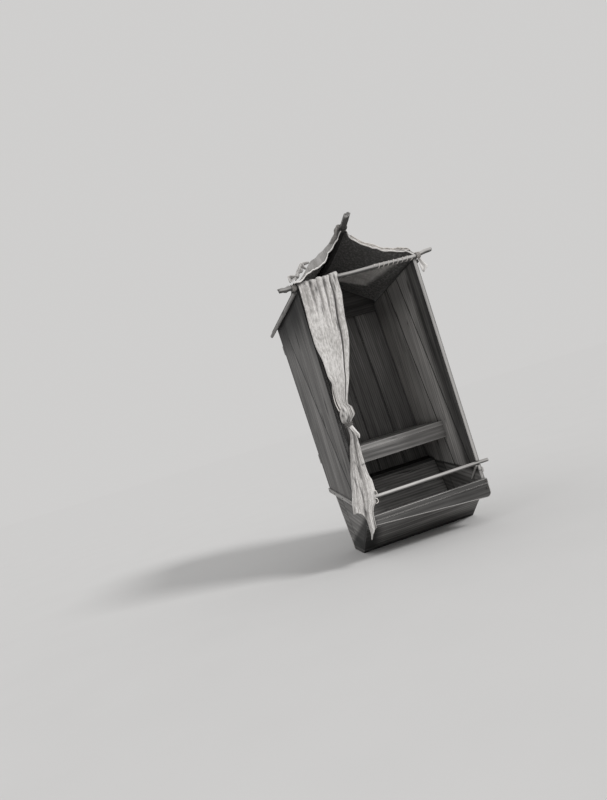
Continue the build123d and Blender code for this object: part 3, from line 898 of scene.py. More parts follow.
def eave_edge(side, y, angle=0.0):
    """The cloth on an eave pole, at an angle from the pole's top outward."""
    axis = eave_at(side, y)
    r = EAVES[side][2] + CLOTH_OFF
    above = POLE_TOP - (eave_at(side, POLE_Y).z + r)
    lift = above * (1 - ramp(y, POLE_Y + 0.012, POLE_Y + 0.065))
    return axis + Vector((side * r * sin(angle), 0.0, lift + r * cos(angle)))


def hem_y(share):
    """How far forward the hem is at a share of the way across."""
    side = -1 if share < 0 else 1
    return HEM_AT_RIDGE + (HEM_AT_EAVE[side] - HEM_AT_RIDGE) * abs(share) ** 0.9


def roof_point(t, share):
    """A point of the roof at a share of the way across, and from the hem to the back."""
    side = -1 if share < 0 else 1
    start = hem_y(share)
    y = start + (ROOF_BACK - start) * t
    edge = eave_edge(side, y)
    far = abs(share) * abs(edge.x)
    way = hypot(far, RIDGE_SOFT) - RIDGE_SOFT
    way /= hypot(edge.x, RIDGE_SOFT) - RIDGE_SOFT
    loose = exp(-(y - start) / SAG_REACH)
    front_rise = through(FRONT_LINE[side], way)
    rise = loose * front_rise + (1 - loose) * (1 - way) ** (TAUT - 0.08 * t)
    axis = ridge_z(y)
    z = edge.z + (axis + RIDGE_WRAP - edge.z) * rise
    if far < RIDGE_WRAP:
        z = max(z, axis + sqrt(RIDGE_WRAP**2 - far**2))
    held = sin(pi * min(1.0, way)) ** 0.7 if 0 < way < 1 else 0.0
    gable = 1 - ramp(y, ROOF_BACK - 0.10, ROOF_BACK - 0.02)
    folds = 0.0050 * rough(share * 2.2, y * 21, 3.3) + 0.0026 * rough(share * 5, y * 47, 9.1)
    folds += 0.005 * loose * rough(share * 9, y * 9, 5.7)
    z += held * (0.3 + 0.7 * gable) * folds
    return Vector((side * far, y, z))


def roof_shares():
    """Places across the roof: close together where the cloth turns over the ridge pole."""
    wrap = RIDGE_WRAP / abs(EAVES[1][0].x)
    over = [wrap * sin(radians(a)) for a in OVER_RIDGE]
    steps = range(1, SLOPE_COLUMNS + 1)
    half = over + [wrap + (1 - wrap) * (k / SLOPE_COLUMNS) ** 1.15 for k in steps]
    return [-s for s in reversed(half)] + [0.0] + half


def flat_places(points):
    """Where each point of a grid lies on the flat cut, from the grid's own lengths."""
    steps_x = np.linalg.norm(np.diff(points, axis=1), axis=2).mean(0)
    steps_y = np.linalg.norm(np.diff(points, axis=0), axis=2).mean(1)
    across = np.concatenate([[0], np.cumsum(steps_x)])
    down = np.concatenate([[0], np.cumsum(steps_y)])
    return np.stack(np.meshgrid(across, down), axis=-1)


def hem_point(share, q):
    """A point of the hem, from the roof's front line (0) to the rolled rim (1)."""
    side = -1 if share < 0 else 1
    roll = HEM_ROLL * (1 + 0.35 * rough(share * 26, 4.4, 0.9))
    drop = through(HEM[side], abs(share)) * (1 + 0.12 * rough(share * 11, 2.7, 0.4))
    fall, curl = min(1.0, q / ROLL_FROM), max(0.0, (q - ROLL_FROM) / ROLL_OVER)
    swing = 0.007 * sin(pi / 2 * fall) + 0.003 * rough(share * 14, 8.8, fall)
    crumple = 0.004 * fall * rough(share * 30, 1.8, fall * 1.5)
    if side > 0:
        swing *= 1 - ramp(share, 0.6, 0.9)
        crumple *= 0.4
    hang = max(0.0005, drop - roll) * fall
    if drop <= LEAST_ROLLED:
        roll = 0.0
    out = roll * (1 - cos(curl * ROLL_TURN))
    under = roll * sin(curl * ROLL_TURN)
    return roof_point(0.0, share) + Vector((0, -swing - crumple - out, -hang - under))


def with_laps(row):
    """A row of the roof with the cloth's laps round both eave poles."""
    laps = {-1: [], 1: []}
    for side, end in ((-1, row[0]), (1, row[-1])):
        top = eave_edge(side, end.y)
        for k in range(1, LAP_COLUMNS + 1):
            angle = LAP * k / LAP_COLUMNS * (1 + 0.25 * rough(end.y * 30, side * 3.3, 0.2))
            laps[side].append(end + eave_edge(side, end.y, angle) - top)
    return laps[-1][::-1] + row + laps[1]


def roof_light_and_shade(across, q):
    """How pale and how dark one row of the roof is: a painted highlight on its rim and the right
    hem, and painted shade near the ridge and along the eaves.
    """
    rim = ramp(q, 0.66, 0.80)
    pale = np.where(across < 0, rim, ramp(q, 0.15, 0.5))
    apex = 1 - ramp(-across, 0.05, 0.22)
    dark = np.where(across < 0, 0.3 * apex * ramp(q, 0.0, 0.2), 0.0)
    if q == 0.0:
        dark += 0.34 * np.exp(-((across / 0.07) ** 2))
        dark += 0.28 * ramp(np.abs(across), 0.88, 1.0)
    return pale, dark


def underside_shade(points):
    """Inside, all of the roof is in painted shade but a painted pool of light over the right of
    the seat.
    """
    x, y = points[:, :, 0], points[:, :, 1]
    lit = ramp(y + 2.4 * (x - 0.10) - 0.17, -0.03, 0.03)  # from a slanting left edge
    lit *= 1 - ramp(y + 0.67 * (x - 0.10) - 0.27, -0.02, 0.02)  # to a back edge
    lit *= 1 - ramp(x + 0.1 * y, 0.215, 0.245)  # and a right edge
    return 0.94 * (1 - 0.96 * lit)


def roof_cloth():
    """The roof: one sheet over the ridge pole, sagging at the front, with a rolled hem."""
    shares = roof_shares()
    across = np.array([-1.0] * LAP_COLUMNS + shares + [1.0] * LAP_COLUMNS)
    rows, wear = [], []
    for i in range(HEM_ROWS + ROOF_ROWS):
        q = max(0.0, (HEM_ROWS - i) / HEM_ROWS)
        t = max(0.0, (i - HEM_ROWS) / (ROOF_ROWS - 1)) ** 1.3
        row = [hem_point(share, q) if q else roof_point(t, share) for share in shares]
        rows.append(with_laps(row))
        wear.append(roof_light_and_shade(across, q))
    points = np.array(rows, float)
    flat = flat_places(points)
    pale, dark = np.array(wear).swapaxes(0, 1)
    marks = {"pale": pale, "dark": dark, "inside": underside_shade(points) * (1 - pale)}
    weave = {"thread": ROOF_THREAD, "seed": 2.0, "crease": 0.003}
    outer = cloth("roof_outside", shade=0.34, stain=0.6, dim=0.5, **weave)
    # the underside's pale cloth shows only in the painted pool of light; painted shade darkens
    # the rest
    inner = cloth("roof_underside", shade=0.78, stain=0.5, dim=0.4, dark="inside", **weave)
    piece = new_sheet("roof_cloth", [(points, flat, marks)], ROOF_THICK, outer, inner)
    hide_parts("canopy_cloth")
    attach(piece, "chair")


HEM_ROLLS = (
    # above the roof's front line, in front of it, first and last share, cord radius
    (0.0015, 0.004, 0.1, 0.93, 0.0028),
    (-0.0065, 0.006, 0.16, 0.9, 0.0024),
    (-0.013, 0.007, 0.08, 0.66, 0.0021),
)
BUNCH_CORDS = ((0.0, 0.0075), (0.006, 0.0055), (-0.005, 0.0048))  # shift, radius
RIDGE_BUNCH = (
    (-0.006, -0.34, 1.506), (-0.026, -0.342, 1.51), (-0.04, -0.342, 1.492),
    (-0.05, -0.342, 1.47), (-0.066, -0.34, 1.452), (-0.082, -0.338, 1.438),
)


def roof_trim():
    """The frayed rolls of the right hem, the bunched cloth at the ridge and its lashing."""
    rolls = []
    for lift, ahead, start, end, radius in HEM_ROLLS:
        line = []
        for share in np.linspace(start, end, 90):
            p = roof_point(0.0, float(share))
            shake = 0.0022 * rough(share * 23, lift * 900, 3.1)
            side_shake = 0.0018 * rough(share * 37, lift * 700, 8.1)
            line.append(p + Vector((0, -ahead + side_shake, lift + shake)))
        rolls.append(tube(line, radius, around=9, uneven=0.35))
    # the rolls' pale fibre: a painted highlight on the rolled hem
    cords("hem_rolls", rolls, shade=0.72)
    bunch = []
    for shift, radius in BUNCH_CORDS:
        aside = Vector((shift * 0.4, -shift, shift))
        line = curve([Vector(p) + aside for p in RIDGE_BUNCH], count=60)
        bunch.append(tube(line, radius, around=12, uneven=0.5))
    cords("ridge_bunch", bunch, shade=0.27)
    y = HEM_AT_RIDGE - 0.020
    ring = turns_round((0, y, ridge_z(y)), BACKWARD, RIDGE_R + 0.002, count=3, pitch=0.0050,
                       seed=6.1)
    cords("ridge_lashing", [ring], shade=0.06)


TATTERS = (
    # width, then the line of a curled strip at the left eave
    (0.02, ((-0.211, 1.379), (-0.234, 1.379), (-0.257, 1.361), (-0.254, 1.352),
            (-0.273, 1.348), (-0.282, 1.327), (-0.316, 1.336), (-0.318, 1.314),
            (-0.29, 1.329))),
    (0.018, ((-0.232, 1.354), (-0.241, 1.361), (-0.247, 1.378), (-0.271, 1.356),
             (-0.283, 1.336), (-0.296, 1.312))),
    (0.014, ((-0.299, 1.339), (-0.323, 1.333), (-0.322, 1.309))),
)
TATTER_THICK = 0.0012
RIBBON_ROWS = 48
RIBBON_STEP = 0.004
SCRAP_WIDTH = 0.04
CORNER_SCRAP = (
    # height, left edge, right edge
    (1.277, 0.309, 0.313), (1.272, 0.306, 0.325), (1.25, 0.306, 0.336), (1.232, 0.307, 0.346),
    (1.217, 0.309, 0.33), (1.206, 0.314, 0.318),
)


def ribbon(path, width, y, seed):
    """A curled strip of cloth along a line in a front view."""
    bends = [(x, y + 0.006 * rough(x * 40, z * 40, seed), z) for x, z in path]
    middle = curve(bends, RIBBON_ROWS)
    across = np.linspace(-0.5, 0.5, 7)
    points, flat = blank(RIBBON_ROWS, len(across))
    last = RIBBON_ROWS - 1
    for i, p in enumerate(middle):
        ahead = (middle[min(i + 1, last)] - middle[max(i - 1, 0)]).normalized()
        turn = 0.8 + 0.5 * rough(i * 0.11, seed, 0.4)
        normal = ahead.cross(Vector(BACKWARD)).normalized()
        side = normal * sin(turn) + Vector(BACKWARD) * cos(turn)
        wide = width * (1 - 0.55 * abs(2 * i / last - 1) ** 4)
        for k, share in enumerate(across):
            cup = 0.0016 * (1 - 4 * share * share)
            points[i, k] = p + side * (share * wide) + ahead.cross(side) * cup
            flat[i, k] = (share * width, i * RIBBON_STEP)
    # a painted highlight along the strips' curled edges
    pale = np.abs(2 * across) ** 6 * 0.8 * np.ones((RIBBON_ROWS, 1))
    return points, flat, {"pale": pale}


def corner_scrap():
    """The scrap of cloth that hangs from the roof's right front corner."""
    rows, columns = 22, 9
    points, flat = blank(rows, columns)
    top, foot = CORNER_SCRAP[0][0], CORNER_SCRAP[-1][0]
    for i, z in enumerate(np.linspace(top, foot, rows)):
        left, right = through(CORNER_SCRAP, z, 1), through(CORNER_SCRAP, z, 2)
        for k, u in enumerate(np.linspace(0, 1, columns)):
            bulge = 0.004 * cos(9 * u + 30 * z)
            points[i, k] = (left + (right - left) * u, FRONT + 0.001 - bulge, z)
            flat[i, k] = (u * SCRAP_WIDTH, top - z)
    # the whole scrap painted pale
    return points, flat, {"pale": np.full((rows, columns), 0.9)}


def roof_tatters():
    """Curled strips torn from the hem at the left eave, and a scrap at the right corner."""
    grids = [ribbon(path, width, y=FRONT - 0.016, seed=count * 3.7 + 1.2)
             for count, (width, path) in enumerate(TATTERS)]
    grids.append(corner_scrap())
    material = cloth("tattered_cotton", shade=0.50, thread=ROOF_THREAD, seed=9.0, stain=0.5,
                     crease=0.002, dim=0.7)
    piece = new_sheet("roof_tatters", grids, TATTER_THICK, material)
    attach(piece, "chair")


# Curtain: gathered on the front pole, tied in at its neck, with a torn tail below
CURTAIN_WIDTH = 0.232
CURTAIN_THICK = 0.0012
CURTAIN_LEFT = (
    # height, left edge
    (1.31, -0.299), (1.28, -0.293), (1.188, -0.295), (1.086, -0.3), (1.012, -0.3),
    (0.923, -0.287), (0.854, -0.285), (0.817, -0.277), (0.761, -0.28), (0.703, -0.276),
    (0.665, -0.284), (0.639, -0.28), (0.626, -0.265), (0.58, -0.261), (0.513, -0.282),
    (0.427, -0.308), (0.404, -0.315), (0.333, -0.332), (0.264, -0.352), (0.235, -0.356),
)
CURTAIN_RIGHT = (
    # height, right edge
    (1.31, -0.096), (1.3, -0.099), (1.267, -0.107), (1.215, -0.107), (1.153, -0.118),
    (1.081, -0.129), (1.041, -0.132), (0.997, -0.139), (0.943, -0.154), (0.88, -0.175),
    (0.827, -0.191), (0.776, -0.211), (0.713, -0.23), (0.697, -0.219), (0.663, -0.214),
    (0.635, -0.236), (0.61, -0.241), (0.554, -0.232), (0.52, -0.233), (0.476, -0.235),
    (0.409, -0.236), (0.373, -0.233), (0.356, -0.228), (0.308, -0.229), (0.287, -0.235),
    (0.259, -0.241), (0.241, -0.258), (0.212, -0.268), (0.175, -0.272), (0.151, -0.275),
    (0.14, -0.281), (0.125, -0.296), (0.106, -0.313),
)
TAIL_MIDDLE = (
    # height, the middle of the tail
    (0.58, -0.247), (0.45, -0.27), (0.4, -0.274), (0.3, -0.29), (0.24, -0.3),
    (0.204, -0.305), (0.173, -0.306), (0.141, -0.308), (0.106, -0.314),
)
CURTAIN_FOOT = (
    # share across, height of the torn hem
    (0.0, 0.235), (0.12, 0.239), (0.25, 0.232), (0.36, 0.222), (0.45, 0.208), (0.5, 0.19),
    (0.53, 0.14), (0.6, 0.108), (0.7, 0.112), (0.75, 0.125), (0.85, 0.137), (0.9, 0.141),
    (1.0, 0.15),
)
CURTAIN_HEAD = (
    # across the chair, height of the cloth over the front pole
    (-0.299, 1.299), (-0.271, 1.2992), (-0.247, 1.301), (-0.207, 1.2995), (-0.193, 1.305),
    (-0.159, 1.3015), (-0.129, 1.306), (-0.098, 1.3095),
)
CURTAIN_BASE = (
    # height, how far in front of the panels' front edges the folds' backs lie
    (1.285, 0.0142), (1.1, 0.012), (0.8, 0.008), (0.632, 0.005), (0.45, 0.01),
    (0.26, 0.0215), (0.09, 0.0215),
)
VALLEYS = (
    # share across, width, depth, height from which it is full, height where it is gone
    (0.12, 0.03, 0.35, 1.28, 1.0),
    (0.29, 0.034, 1.0, 1.25, 1.08),
    (0.47, 0.03, 0.95, 1.24, 1.05),
    (0.63, 0.03, 1.0, 1.24, 1.05),
    (0.805, 0.02, 1.1, 0.66, 0.6),
)
POCKETS = (
    # across, height, half width, half height of the painted shade between the folds and by the
    # knot
    (-0.234, 1.288, 0.005, 0.016), (-0.217, 1.25, 0.006, 0.02),
    (-0.169, 1.272, 0.0055, 0.022), (-0.12, 1.28, 0.0045, 0.02),
    (-0.132, 1.24, 0.004, 0.02), (-0.219, 1.15, 0.004, 0.03),
    (-0.172, 1.069, 0.0035, 0.03), (-0.262, 1.29, 0.004, 0.01),
    (-0.15, 1.19, 0.0035, 0.026), (-0.262, 0.69, 0.005, 0.01),
    (-0.273, 0.668, 0.006, 0.008), (-0.254, 0.67, 0.003, 0.013),
    (-0.246, 0.652, 0.004, 0.009), (-0.282, 0.452, 0.0035, 0.008),
    (-0.245, 0.434, 0.012, 0.003), (-0.272, 0.41, 0.0035, 0.04),
    (-0.292, 0.322, 0.0035, 0.045), (-0.306, 0.368, 0.0035, 0.025),
    (-0.301, 0.232, 0.006, 0.02), (-0.236, 0.298, 0.005, 0.007),
    (-0.24, 0.271, 0.0045, 0.006),
)
FOLD_MOST = 0.019  # the deepest fold
FULLNESS = 1.80  # of the cloth's relief; the rest is folded away behind
NECK = 0.632
NECK_REACH = 0.030
BELLY = 0.010  # how far the cloth bulges over the tie
BELLY_AT, BELLY_REACH = 0.672, 0.026
FRONT_OF_POLE = 0.016  # the folds' most over the pole
HEAD = 1.300
TORN_FROM = 0.31
TORN_SHARE = 0.84  # of the rows, above the torn end
CURTAIN_POINTS = 200  # along and across
CURTAIN_THREAD = 0.0009
BEHIND_POLE = 0.016
CURTAIN_TURN = POLE_R + 0.0018
OVER_POLE = pi * CURTAIN_TURN


def curtain_path(length, head):
    """Place and facing of the curtain's back, down its length from behind the pole."""
    if length < BEHIND_POLE:
        return POLE_Y + CURTAIN_TURN, POLE_Z - BEHIND_POLE + length, 0.0
    if length < BEHIND_POLE + OVER_POLE:
        angle = (length - BEHIND_POLE) / CURTAIN_TURN
        up = (head - POLE_Z) * sin(angle)
        return POLE_Y + CURTAIN_TURN * cos(angle), POLE_Z + up, angle
    z = POLE_Z - (length - BEHIND_POLE - OVER_POLE)
    near_pole = POLE_Y - CURTAIN_TURN - FRONT
    base = through(CURTAIN_BASE, z)
    blend = ramp(z, POLE_Z - 0.03, POLE_Z)
    return FRONT - base + (near_pole + base) * blend, z, pi


def curtain_shape(across, z):
    """The folds' relief from 0, the deepest valley, to 1, at one height."""
    upper = np.ones(len(across))
    for place, wide, deep, full, gone in VALLEYS:
        strength = deep * ramp(z, gone, full)
        drift = place + 0.010 * rough(z * 7, place * 9, 1.1)
        upper -= strength * np.exp(-(((across - drift) / wide) ** 2))
    fine = []
    for u in across:
        value = 0.30 * rough(u * 7, z * 5, 4.1) + 0.08 * rough(u * 26, z * 14, 7.7)
        fine.append(value + 0.03 * rough(u * 60, z * 40, 1.7))
    upper = upper + np.array(fine)
    lower = 0.5 - 0.5 * np.cos(2 * pi * (2 * across + 0.03) + 0.4 * sin(z * 9))
    lower += 0.14 * np.cos(2 * pi * 7 * across + 5 * z) + 1.3 * np.array(fine)
    tail = 1 - ramp(z, NECK - 0.08, NECK + 0.05)
    shape = (1 - tail) * upper + tail * lower
    return (shape - shape.min()) / (shape.max() - shape.min())


def curtain_across(across, z):
    """Where each column of the curtain lies across the chair at one height."""
    left, right = through(CURTAIN_LEFT, z), through(CURTAIN_RIGHT, z)
    even = 0.5 * (left + right)
    tail = 1 - ramp(z, 0.50, 0.58)
    middle = even + (through(TAIL_MIDDLE, z) - even) * tail
    return np.interp(across, (0.0, 0.5, 1.0), (left, middle, right))


def fold_depth(x, relief):
    """How deep the folds are, so that a row is as wide as the cloth allows."""
    least, most = 0.0, FOLD_MOST
    for _ in range(22):
        depth = (least + most) / 2
        run = np.hypot(np.diff(x), np.diff(depth * relief)).sum()
        if run < min(CURTAIN_WIDTH, FULLNESS * (x[-1] - x[0])):
            least = depth
        else:
            most = depth
    return depth


def curtain_row(across, lengths, heads):
    """One row of the curtain's points."""
    _, z, facing = curtain_path(float(np.median(lengths)), POLE_Z + POLE_R)
    if facing < pi:
        z = HEAD
    bunch = exp(-(((z - NECK) / NECK_REACH) ** 2))
    belly = exp(-(((z - BELLY_AT) / BELLY_REACH) ** 2))
    relief = curtain_shape(across, z) * (1 - bunch * 0.55 * np.abs(2 * across - 1) ** 2)
    x = curtain_across(across, z)
    out = fold_depth(x, relief) * relief + belly * BELLY * np.sin(pi * across)
    if facing < pi or z > POLE_Z - 0.02:
        out = np.minimum(out, FRONT_OF_POLE)
    row = []
    for k, length in enumerate(lengths):
        back, height, angle = curtain_path(float(length), heads[k])
        if angle == pi:
            at = curtain_across(across[k:k + 1], height)[0] if height < 0.6 else x[k]
            row.append((at, back - out[k], height))
        else:
            lift = out[k] * 0.25 * sin(angle)
            forward = out[k] * max(0.0, -cos(angle))
            row.append((x[k], back - forward, height + lift))
    return row


def curtain():
    """The curtain's sheet, and its flat length."""
    count = CURTAIN_POINTS
    across = np.linspace(0, 1, count)
    heads = through(CURTAIN_HEAD, curtain_across(across, HEAD))
    start = BEHIND_POLE + OVER_POLE + POLE_Z
    torn_at = start - TORN_FROM
    fringe = [0.004 * rough(u * 60, 1.1, 0.2) + 0.003 * rough(u * 140, 4.4, 0.2) for u in across]
    foot_at = start - through(CURTAIN_FOOT, across) - np.array(fringe)
    points, flat = blank(count, count)
    for i, t in enumerate(np.linspace(0, 1, count)):
        lengths = np.full(count, torn_at * min(1.0, t / TORN_SHARE))
        if t > TORN_SHARE:
            lengths += (foot_at - torn_at) * (t - TORN_SHARE) / (1 - TORN_SHARE)
        points[i] = curtain_row(across, lengths, heads)
        flat[i, :, 0] = across * CURTAIN_WIDTH
        flat[i, :, 1] = -lengths
    dark = np.zeros((count, count))
    # painted shade in the pockets between the folds
    for x, z, wide, tall in POCKETS:
        near = ((points[:, :, 0] - x) / wide) ** 2 + ((points[:, :, 2] - z) / tall) ** 2
        dark = np.maximum(dark, 0.9 * np.exp(-near))
    material = cloth("curtain_cotton", shade=0.74, thread=CURTAIN_THREAD, seed=5.0, stain=0.85,
                     crease=0.0028, dim=0.85)
    grids = [(points, flat, {"dark": dark})]
    piece = new_sheet("curtain_cloth", grids, CURTAIN_THICK, material)
    return piece, float(foot_at.max())


TIE_CENTRE = Vector((-0.2545, FRONT - 0.016, NECK - 0.008))
TIE_HALF = (0.0172, 0.0150)  # its half width and half depth
TIE_TURNS = (
    # lift, tilt, cord radius
    (0.004, 0.1, 0.0026), (-0.002, -0.05, 0.0028), (-0.008, 0.16, 0.0026),
)
TURN_STEPS = 40
STRANDS = (
    # from the knot, then over to the panel's edge
    ((-0.272, -0.372, 0.697), (-0.278, -0.37, 0.735), (-0.277, -0.364, 0.775),
     (-0.271, -0.354, 0.811)),
    ((-0.281, -0.37, 0.69), (-0.287, -0.368, 0.73), (-0.283, -0.362, 0.775),
     (-0.2725, -0.354, 0.811)),
)
FLAP_FLAT = (0.022, 0.085)
FLAP_LINE = (
    # share down the flap, left edge, right edge, height
    (0.0, -0.264, -0.247, 0.626),
    (0.35, -0.257, -0.238, 0.602),
    (0.6, -0.248, -0.231, 0.584),
    (0.85, -0.238, -0.224, 0.566),
    (1.0, -0.233, -0.228, 0.552),
)
LOOPS = (
    # small loops of fringe at the tail's right edge
    ((-0.236, 0.308), (-0.228, 0.306), (-0.225, 0.293), (-0.234, 0.284)),
    ((-0.241, 0.274), (-0.231, 0.269), (-0.23, 0.257), (-0.243, 0.25)),
)


def curtain_tie():
    """Turns of cord round the curtain's neck."""
    tubes = []
    for turn, (lift, tilt, radius) in enumerate(TIE_TURNS):
        line = []
        for k in range(TURN_STEPS):
            a = 2 * pi * k / TURN_STEPS
            x, y = TIE_HALF[0] * cos(a), TIE_HALF[1] * sin(a)
            wobble = 0.0012 * rough(turn * 3.1, 2 * cos(a), 2 * sin(a))
            line.append(TIE_CENTRE + Vector((x, y, lift + tilt * x + wobble)))
        tubes.append(tube(line, radius, closed=True))
    return cords("curtain_cord", tubes, shade=0.17)


def curtain_trim():
    """The two pale strands that hold the knot, and the fringe's loops."""
    tubes = [tube(curve(line, count=24), radius=0.0023) for line in STRANDS]
    for line in LOOPS:
        placed = [(x, FRONT - 0.0235, z) for x, z in line]
        tubes.append(tube(curve(placed, count=16), radius=0.0019, around=7))
    return cords("curtain_strands", tubes, shade=0.80)


def tie_flap():
    """The free corner of cloth that comes out under the tie."""
    rows, columns = 26, 12
    points, flat = blank(rows, columns)
    for i, t in enumerate(np.linspace(0, 1, rows)):
        left, right, z = (through(FLAP_LINE, t, column) for column in (1, 2, 3))
        for k, u in enumerate(np.linspace(0, 1, columns)):
            y = FRONT - 0.026 - 0.009 * t - 0.004 * sin(pi * t)
            y -= 0.0035 * cos(7 * u + 2) * (0.3 + t)
            points[i, k] = (left + (right - left) * u, y, z)
            flat[i, k] = (u * FLAP_FLAT[0], -t * FLAP_FLAT[1])
    material = cloth("corner_cotton", shade=0.80, thread=CURTAIN_THREAD, seed=7.0, stain=0.3,
                     crease=0.001, dim=0.6)
    return new_sheet("curtain_corner", [(points, flat, {})], CURTAIN_THICK, material)


def make_curtain():
    """The curtain, its tie, the strands that hold it and its free corner."""
    sheet, length = curtain()
    cord = curtain_tie()
    strands = curtain_trim()
    flap = tie_flap()
    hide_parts("curtain")
    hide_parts("curtain_tie")
    for piece in (sheet, flap):
        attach(piece, "chair")


# Nails
NAIL_R = 0.0034
NAIL_SIDES = 8
NAIL_RINGS = ((1.0, -0.0004), (0.98, 0.0008), (0.55, 0.0016))  # share of the radius, lift
STRIP_NAILS = (0.03, 0.18, 0.33, 0.48, 0.59)  # back from the front edge
BACK_NAILS = (0.36, 0.56, 0.66, 0.80, 0.94, 1.04, 1.18)  # heights
BATTEN_NAILS = 8
BACK_LEAN = leaning.y / leaning.z


def nail_head(at, facing):
    """A hand-forged nail's low faceted head."""
    at, facing = Vector(at), Vector(facing).normalized()
    side = facing.orthogonal().normalized()
    third = facing.cross(side)
    points = []
    for share, lift in NAIL_RINGS:
        for k in range(NAIL_SIDES):
            a = 2 * pi * k / NAIL_SIDES
            r = NAIL_R * share * (1 + 0.12 * rough(at.x * 90 + k, at.y * 90, at.z * 90))
            points.append(at + spoke(side, third, r, a) + facing * lift)
    faces = grid_faces(len(NAIL_RINGS), NAIL_SIDES, closed=True)
    faces += end_faces(len(points), NAIL_SIDES)[::-1]
    return points, faces


def strip_nails(side):
    """Along the strips that cover the joint of panel and foot box."""
    near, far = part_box("foot_strip_left")
    slope = (strip_rise.z - 0.022) / strip_rise.y
    x = side * (HALF + far.x - near.x)
    for back in STRIP_NAILS:
        z = near.z + 0.011 + slope * (FRONT + back - near.y)
        yield Vector((x, FRONT + back, z)), (side, 0.0, 0.0)


def front_nails(side):
    """At the ends of the front board, clear of its tapered ends."""
    near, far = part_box("front_board")
    for x, z in ((HALF - 0.010, far.z - 0.013), (HALF - 0.012, near.z + 0.042)):
        yield Vector((side * x, near.y, z)), (0.0, -1.0, 0.0)


def seat_nails(side):
    """Two at each end of each seat board."""
    for name in ("seat_board_1", "seat_board_2", "seat_board_3"):
        near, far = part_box(name)
        for y in (near.y + 0.03, far.y - 0.03):
            yield Vector((side * (INNER - 0.014), y, far.z)), UP


def batten_nails():
    """Two to each back board, staggered, through both battens."""
    for name in ("back_batten_lower", "back_batten_upper"):
        near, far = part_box(name)
        middle, half = (near.z + far.z) / 2, (far.z - near.z) / 2
        for k in range(BATTEN_NAILS):
            x = -HALF + 0.035 + k * (2 * HALF - 0.07) / (BATTEN_NAILS - 1)
            lift = 0.011 if k % 2 else -0.011
            y = far.y - BACK_LEAN * (half - lift) + 0.0004
            yield Vector((x, y, middle + lift)), (0.0, 1.0, -BACK_LEAN)


def back_nails(side):
    """Down both edges of the back boards, into the side panels' edges."""
    far = high("back_board_1")
    for z in BACK_NAILS:
        y = far.y - (far.z - z) * BACK_LEAN
        yield Vector((side * (HALF - 0.010), y, z)), (0.0, 1.0, -BACK_LEAN)


def nails():
    """All nail heads, as one piece."""
    places = list(batten_nails())
    for side in (-1, 1):
        for some in (strip_nails, front_nails, seat_nails, back_nails):
            places.extend(some(side))
    piece = joined("nail_heads", [nail_head(*place) for place in places], smooth=False)
    piece.data.materials.append(iron("forged_iron"))
    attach(piece, "chair")


# Lashings of the front pole, and the cord wound along it
WOUND_FROM, WOUND_TO, WOUND_PITCH = 0.085, 0.275, 0.024
WOUND_STEPS = 24  # to a turn
LASHED_OUT = 0.012  # from the panels' outer faces
LASHED_LIFT = {-1: 0.0, 1: 0.003}


def make_lashings():
    """Both ends of the front pole are lashed to the panels, and a cord winds along it."""
    tubes = []
    for side in (-1, 1):
        centre = (side * (HALF + LASHED_OUT), POLE_Y, POLE_Z + LASHED_LIFT[side])
        tubes.append(turns_round(centre, (1, 0.12, 0), POLE_R + 0.003, count=4, pitch=0.0052,
                                 seed=side * 3.1))
    cords("pole_lashings", tubes, shade=0.46)
    line = []
    steps = int((WOUND_TO - WOUND_FROM) / WOUND_PITCH * WOUND_STEPS)
    for k in range(steps + 1):
        a = 2 * pi * k / WOUND_STEPS
        x = WOUND_FROM + (WOUND_TO - WOUND_FROM) * k / steps
        r = POLE_R + 0.0016 + 0.0006 * rough(k * 0.11, 5.1, 0.4)
        line.append((x, POLE_Y - r * cos(a), POLE_Z + r * sin(a)))
    cords("pole_cord", [tube(line, radius=0.0019, around=8, uneven=0.2)], shade=0.70)


# Ground, light and camera


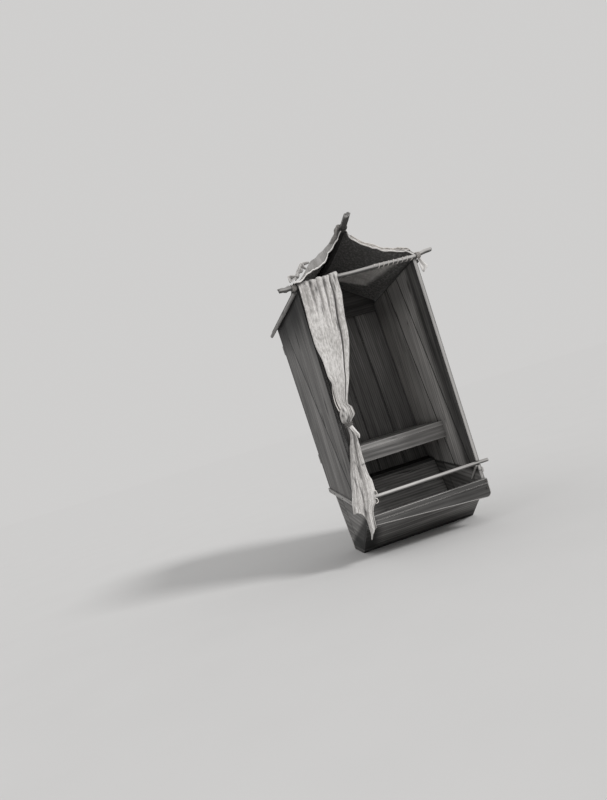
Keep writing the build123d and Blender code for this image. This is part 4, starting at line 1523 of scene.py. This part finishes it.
def floor():
    """A plain pale floor."""
    low_to, high_to = -FLOOR_HALF, FLOOR_HALF
    corners = [(low_to, low_to, 0), (high_to, low_to, 0), (high_to, high_to, 0),
               (low_to, high_to, 0)]
    piece = new_mesh("floor", corners, [(0, 1, 2, 3)])
    g = Graph("pale_floor")
    speck = g.noise(g.add("TexCoord").outputs["Object"], (3, 3, 3), 2.0)
    colour = g.mix(speck, *(grey(shade, 0.01) for shade in FLOOR_SHADES))
    g.put(g.shader.inputs["Base Color"], colour)
    g.put(g.shader.inputs["Roughness"], 0.95)
    g.put(g.shader.inputs["Specular IOR Level"], 0.0)
    piece.data.materials.append(g.material)


def sky():
    """Soft light from all round, and a backdrop of its own shade."""
    world = bpy.data.worlds.new("studio")
    world.use_nodes = True
    bpy.context.scene.world = world
    tree = world.node_tree
    light = tree.nodes["Background"]
    light.inputs["Color"].default_value = (1, 1, 1, 1)
    light.inputs["Strength"].default_value = SKY_STRENGTH
    backdrop = tree.nodes.new("ShaderNodeBackground")
    backdrop.inputs["Color"].default_value = grey(PALE, 0.01)
    choose = tree.nodes.new("ShaderNodeMixShader")
    rays = tree.nodes.new("ShaderNodeLightPath")
    tree.links.new(rays.outputs["Is Camera Ray"], choose.inputs[0])
    tree.links.new(light.outputs[0], choose.inputs[1])
    tree.links.new(backdrop.outputs[0], choose.inputs[2])
    tree.links.new(choose.outputs[0], tree.nodes["World Output"].inputs[0])


def sun():
    """One broad, soft sun."""
    lamp = add_object("sun", bpy.data.lights.new("sun", "SUN"))
    lamp.data.energy = SUN_STRENGTH
    lamp.data.angle = SUN_ANGLE
    lamp.rotation_euler = SUN_TOWARDS.to_track_quat("Z", "Y").to_euler()


def studio():
    floor()
    sky()
    sun()
    bpy.context.scene.view_settings.view_transform = "Standard"


def camera():
    """The photograph's camera, rolled because the chair leans there."""
    ahead = (AIM - EYE).normalized()
    right = ahead.cross(Vector(UP)).normalized()
    above = right.cross(ahead)
    turned = right * cos(ROLL) - above * sin(ROLL)
    upright = turned.cross(ahead)
    axes = Matrix((turned, upright, -ahead)).transposed().to_4x4()
    lens = bpy.data.cameras.new("view")
    lens.lens = FOCAL_PX / max(IMAGE) * lens.sensor_width
    eye = add_object("view", lens)
    eye.matrix_world = Matrix.Translation(EYE) @ axes
    bpy.context.scene.camera = eye


dress_boards()
make_sticks()
roof_cloth()
roof_trim()
roof_tatters()
make_curtain()
nails()
make_lashings()
studio()
camera()
